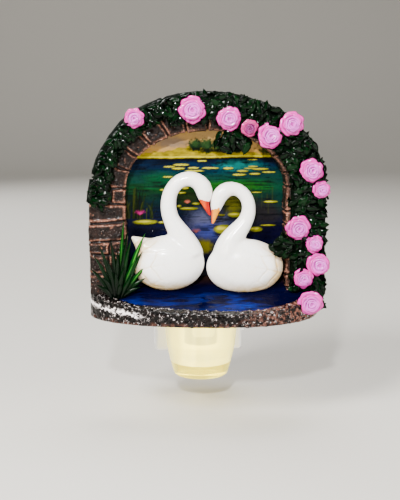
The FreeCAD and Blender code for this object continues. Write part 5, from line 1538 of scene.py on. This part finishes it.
FLOOR_DROP = 14 * MM
WARM, WHITE = (1.0, 0.97, 0.92), (1.0, 1.0, 1.0)
LIGHTS = (
    # name, watts, width, place, what it looks at, colour
    ("key", 17.0, 0.22, (-0.42, -0.55, 0.55), (0.0, -0.045, 0.02), (1.0, 0.98, 0.94)),
    ("fill", 4.2, 0.50, (0.60, -0.50, 0.25), (0.0, -0.045, 0.02), WARM),
    ("top", 5.0, 0.40, (0.05, 0.05, 0.75), (0.0, -0.03, 0.02), WHITE),
    ("sparkle", 7.0, 0.03, (-0.10, -0.62, 0.32), (0.0, -0.045, 0.01), WHITE),
    ("rear", 5.0, 0.60, (-0.30, 0.62, 0.40), (0.0, -0.03, 0.02), WHITE),
)
WORLD_STRENGTH = 0.12
CAMERA = {
    "azimuth": -5.0,
    "elevation": 10.0,
    "distance": 0.470,
    "target": (-0.0022, -0.045, 0.021),
    "lens": 77.7,
}


def area_light(name, energy, size, place, target, tint):
    """A soft square light that looks at its target."""
    light = bpy.data.lights.new(name, "AREA")
    light.energy, light.size, light.color = energy, size, tint
    holder = bpy.data.objects.new(name, light)
    holder.location = place
    holder.rotation_mode = "QUATERNION"
    holder.rotation_quaternion = (Vector(target) - Vector(place)).to_track_quat("-Z", "Y")
    bpy.context.scene.collection.objects.link(holder)


def make_camera(azimuth, elevation, distance, target, lens):
    """A camera that looks at its target from that side, azimuth 0 being straight ahead."""
    data = bpy.data.cameras.new("camera")
    data.lens, data.clip_start, data.clip_end = lens, 0.01, 20
    holder = bpy.data.objects.new("camera", data)
    a, e = math.radians(azimuth), math.radians(elevation)
    back = Vector((math.sin(a) * math.cos(e), -math.cos(a) * math.cos(e), math.sin(e)))
    holder.location = Vector(target) + back * distance
    holder.rotation_mode = "QUATERNION"
    holder.rotation_quaternion = (-back).to_track_quat("-Z", "Y")
    bpy.context.scene.collection.objects.link(holder)
    bpy.context.scene.camera = holder


def make_world():
    """The soft light from all around."""
    world = bpy.data.worlds.new("studio")
    world.use_nodes = True
    background = world.node_tree.nodes["Background"]
    background.inputs["Color"].default_value = (*WARM, 1)
    background.inputs["Strength"].default_value = WORLD_STRENGTH
    bpy.context.scene.world = world


def studio_floor():
    """A pale floor that sweeps up behind the object."""
    level = CAD_BOX[0].z - FLOOR_DROP
    near, far, bend, wall = -2.5, 1.0, 0.5, 2.2
    profile = [(near, level), (far, level)]
    for turn in np.linspace(0.1, math.pi / 2, 14):
        profile.append((far + bend * math.sin(turn), level + bend - bend * math.cos(turn)))
    profile.append((far + bend, level + wall))
    points = [(x / MM, y / MM, z / MM) for y, z in profile for x in (-3.0, 3.0)]
    faces = [[2 * k, 2 * k + 1, 2 * k + 3, 2 * k + 2] for k in range(len(profile) - 1)]
    f = Finish("studio_paper")
    cloud = f.span(f.noise(6, 3), 0.3, 0.7, 0.0, 0.3)
    f.set(Base_Color=f.mix(cloud, (0.52, 0.50, 0.46), (0.50, 0.48, 0.44)))
    f.set(Roughness=0.9, Specular_IOR_Level=0.2)
    new_piece("studio_floor", points, faces, [f.material])


# Operators


class NIGHTLIGHT_OT_stage(bpy.types.Operator):
    """Sets the camera, the lights, the world and the floor"""

    bl_idname = "nightlight.stage"
    bl_label = "Studio"
    bl_options = {"REGISTER", "UNDO"}

    def execute(self, context):
        make_camera(**CAMERA)
        for light in LIGHTS:
            area_light(*light)
        make_world()
        studio_floor()
        return {"FINISHED"}


class NIGHTLIGHT_OT_arch(bpy.types.Operator):
    """Casts the stone arch"""

    bl_idname = "nightlight.arch"
    bl_label = "Stone Arch"
    bl_options = {"REGISTER", "UNDO"}

    def execute(self, context):
        stone_arch()
        return {"FINISHED"}


class NIGHTLIGHT_OT_base(bpy.types.Operator):
    """Casts the rock base and pours the pond"""

    bl_idname = "nightlight.base"
    bl_label = "Base and Pond"
    bl_options = {"REGISTER", "UNDO"}

    def execute(self, context):
        rock_base()
        pond()
        return {"FINISHED"}


class NIGHTLIGHT_OT_panel(bpy.types.Operator):
    """Paints the translucent panel behind the swans"""

    bl_idname = "nightlight.panel"
    bl_label = "Painted Panel"
    bl_options = {"REGISTER", "UNDO"}

    def execute(self, context):
        scene_panel()
        return {"FINISHED"}


class NIGHTLIGHT_OT_swans(bpy.types.Operator):
    """Casts and paints both swans"""

    bl_idname = "nightlight.swans"
    bl_label = "Swans"
    bl_options = {"REGISTER", "UNDO"}

    def execute(self, context):
        swan("swan_left", -1, colours().beak_red)
        swan("swan_right", 1, colours().beak_yellow)
        return {"FINISHED"}


class NIGHTLIGHT_OT_roses(bpy.types.Operator):
    """Casts the roses"""

    bl_idname = "nightlight.roses"
    bl_label = "Roses"
    bl_options = {"REGISTER", "UNDO"}

    def execute(self, context):
        for number in range(1, ROSE_COUNT + 1):
            rose(f"rose_{number:02d}", number)
        return {"FINISHED"}


class NIGHTLIGHT_OT_leaves(bpy.types.Operator):
    """Grows the leaf garlands and sprays"""

    bl_idname = "nightlight.leaves"
    bl_label = "Leaves"
    bl_options = {"REGISTER", "UNDO"}

    def execute(self, context):
        for seed, (node, count, inset, hanging) in enumerate(LEAFAGE):
            leafage(node, count, 900 + seed, inset, hanging)
        return {"FINISHED"}


class NIGHTLIGHT_OT_reeds(bpy.types.Operator):
    """Grows the reed clump"""

    bl_idname = "nightlight.reeds"
    bl_label = "Reeds"
    bl_options = {"REGISTER", "UNDO"}

    def execute(self, context):
        reeds()
        return {"FINISHED"}


class NIGHTLIGHT_OT_fittings(bpy.types.Operator):
    """Finishes the housing, the cup, the bulb and the electrical pieces"""

    bl_idname = "nightlight.fittings"
    bl_label = "Fittings"
    bl_options = {"REGISTER", "UNDO"}

    def execute(self, context):
        for name, piece in frame["nodes"].items():
            if not piece.hide_render:
                piece.data.materials.clear()
                piece.data.materials.append(material(SUBPARTS[name]))
        return {"FINISHED"}


OPERATORS = (
    NIGHTLIGHT_OT_stage,
    NIGHTLIGHT_OT_arch,
    NIGHTLIGHT_OT_base,
    NIGHTLIGHT_OT_panel,
    NIGHTLIGHT_OT_swans,
    NIGHTLIGHT_OT_roses,
    NIGHTLIGHT_OT_leaves,
    NIGHTLIGHT_OT_reeds,
    NIGHTLIGHT_OT_fittings,
)


class NIGHTLIGHT_PT_panel(bpy.types.Panel):
    """Lists the night light's operators, sizes and colours"""

    bl_label = "Night Light"
    bl_idname = "NIGHTLIGHT_PT_panel"
    bl_space_type = "VIEW_3D"
    bl_region_type = "UI"
    bl_category = "Night Light"

    def draw(self, context):
        """Draws the buttons, then the sizes and the colours."""
        column = self.layout.column()
        for operator in OPERATORS:
            column.operator(operator.bl_idname)
        for group in (sizes(), colours()):
            for key in group.bl_rna.properties.keys():
                if key not in ("rna_type", "name"):
                    column.prop(group, key)


CLASSES = (NightLightSizes, NightLightColours, *OPERATORS, NIGHTLIGHT_PT_panel)


def register():
    """Registers the classes and hangs the sizes and colours on the scene."""
    for made in CLASSES:
        bpy.utils.register_class(made)
    bpy.types.Scene.night_light_sizes = bpy.props.PointerProperty(type=NightLightSizes)
    bpy.types.Scene.night_light_colours = bpy.props.PointerProperty(type=NightLightColours)


def unregister():
    """Takes back what register did."""
    del bpy.types.Scene.night_light_colours
    del bpy.types.Scene.night_light_sizes
    for made in reversed(CLASSES):
        bpy.utils.unregister_class(made)


def main():
    """Makes the whole night light."""
    register()
    for operator in OPERATORS:
        group, name = operator.bl_idname.split(".")
        getattr(getattr(bpy.ops, group), name)()


if __name__ == "__main__":
    main()
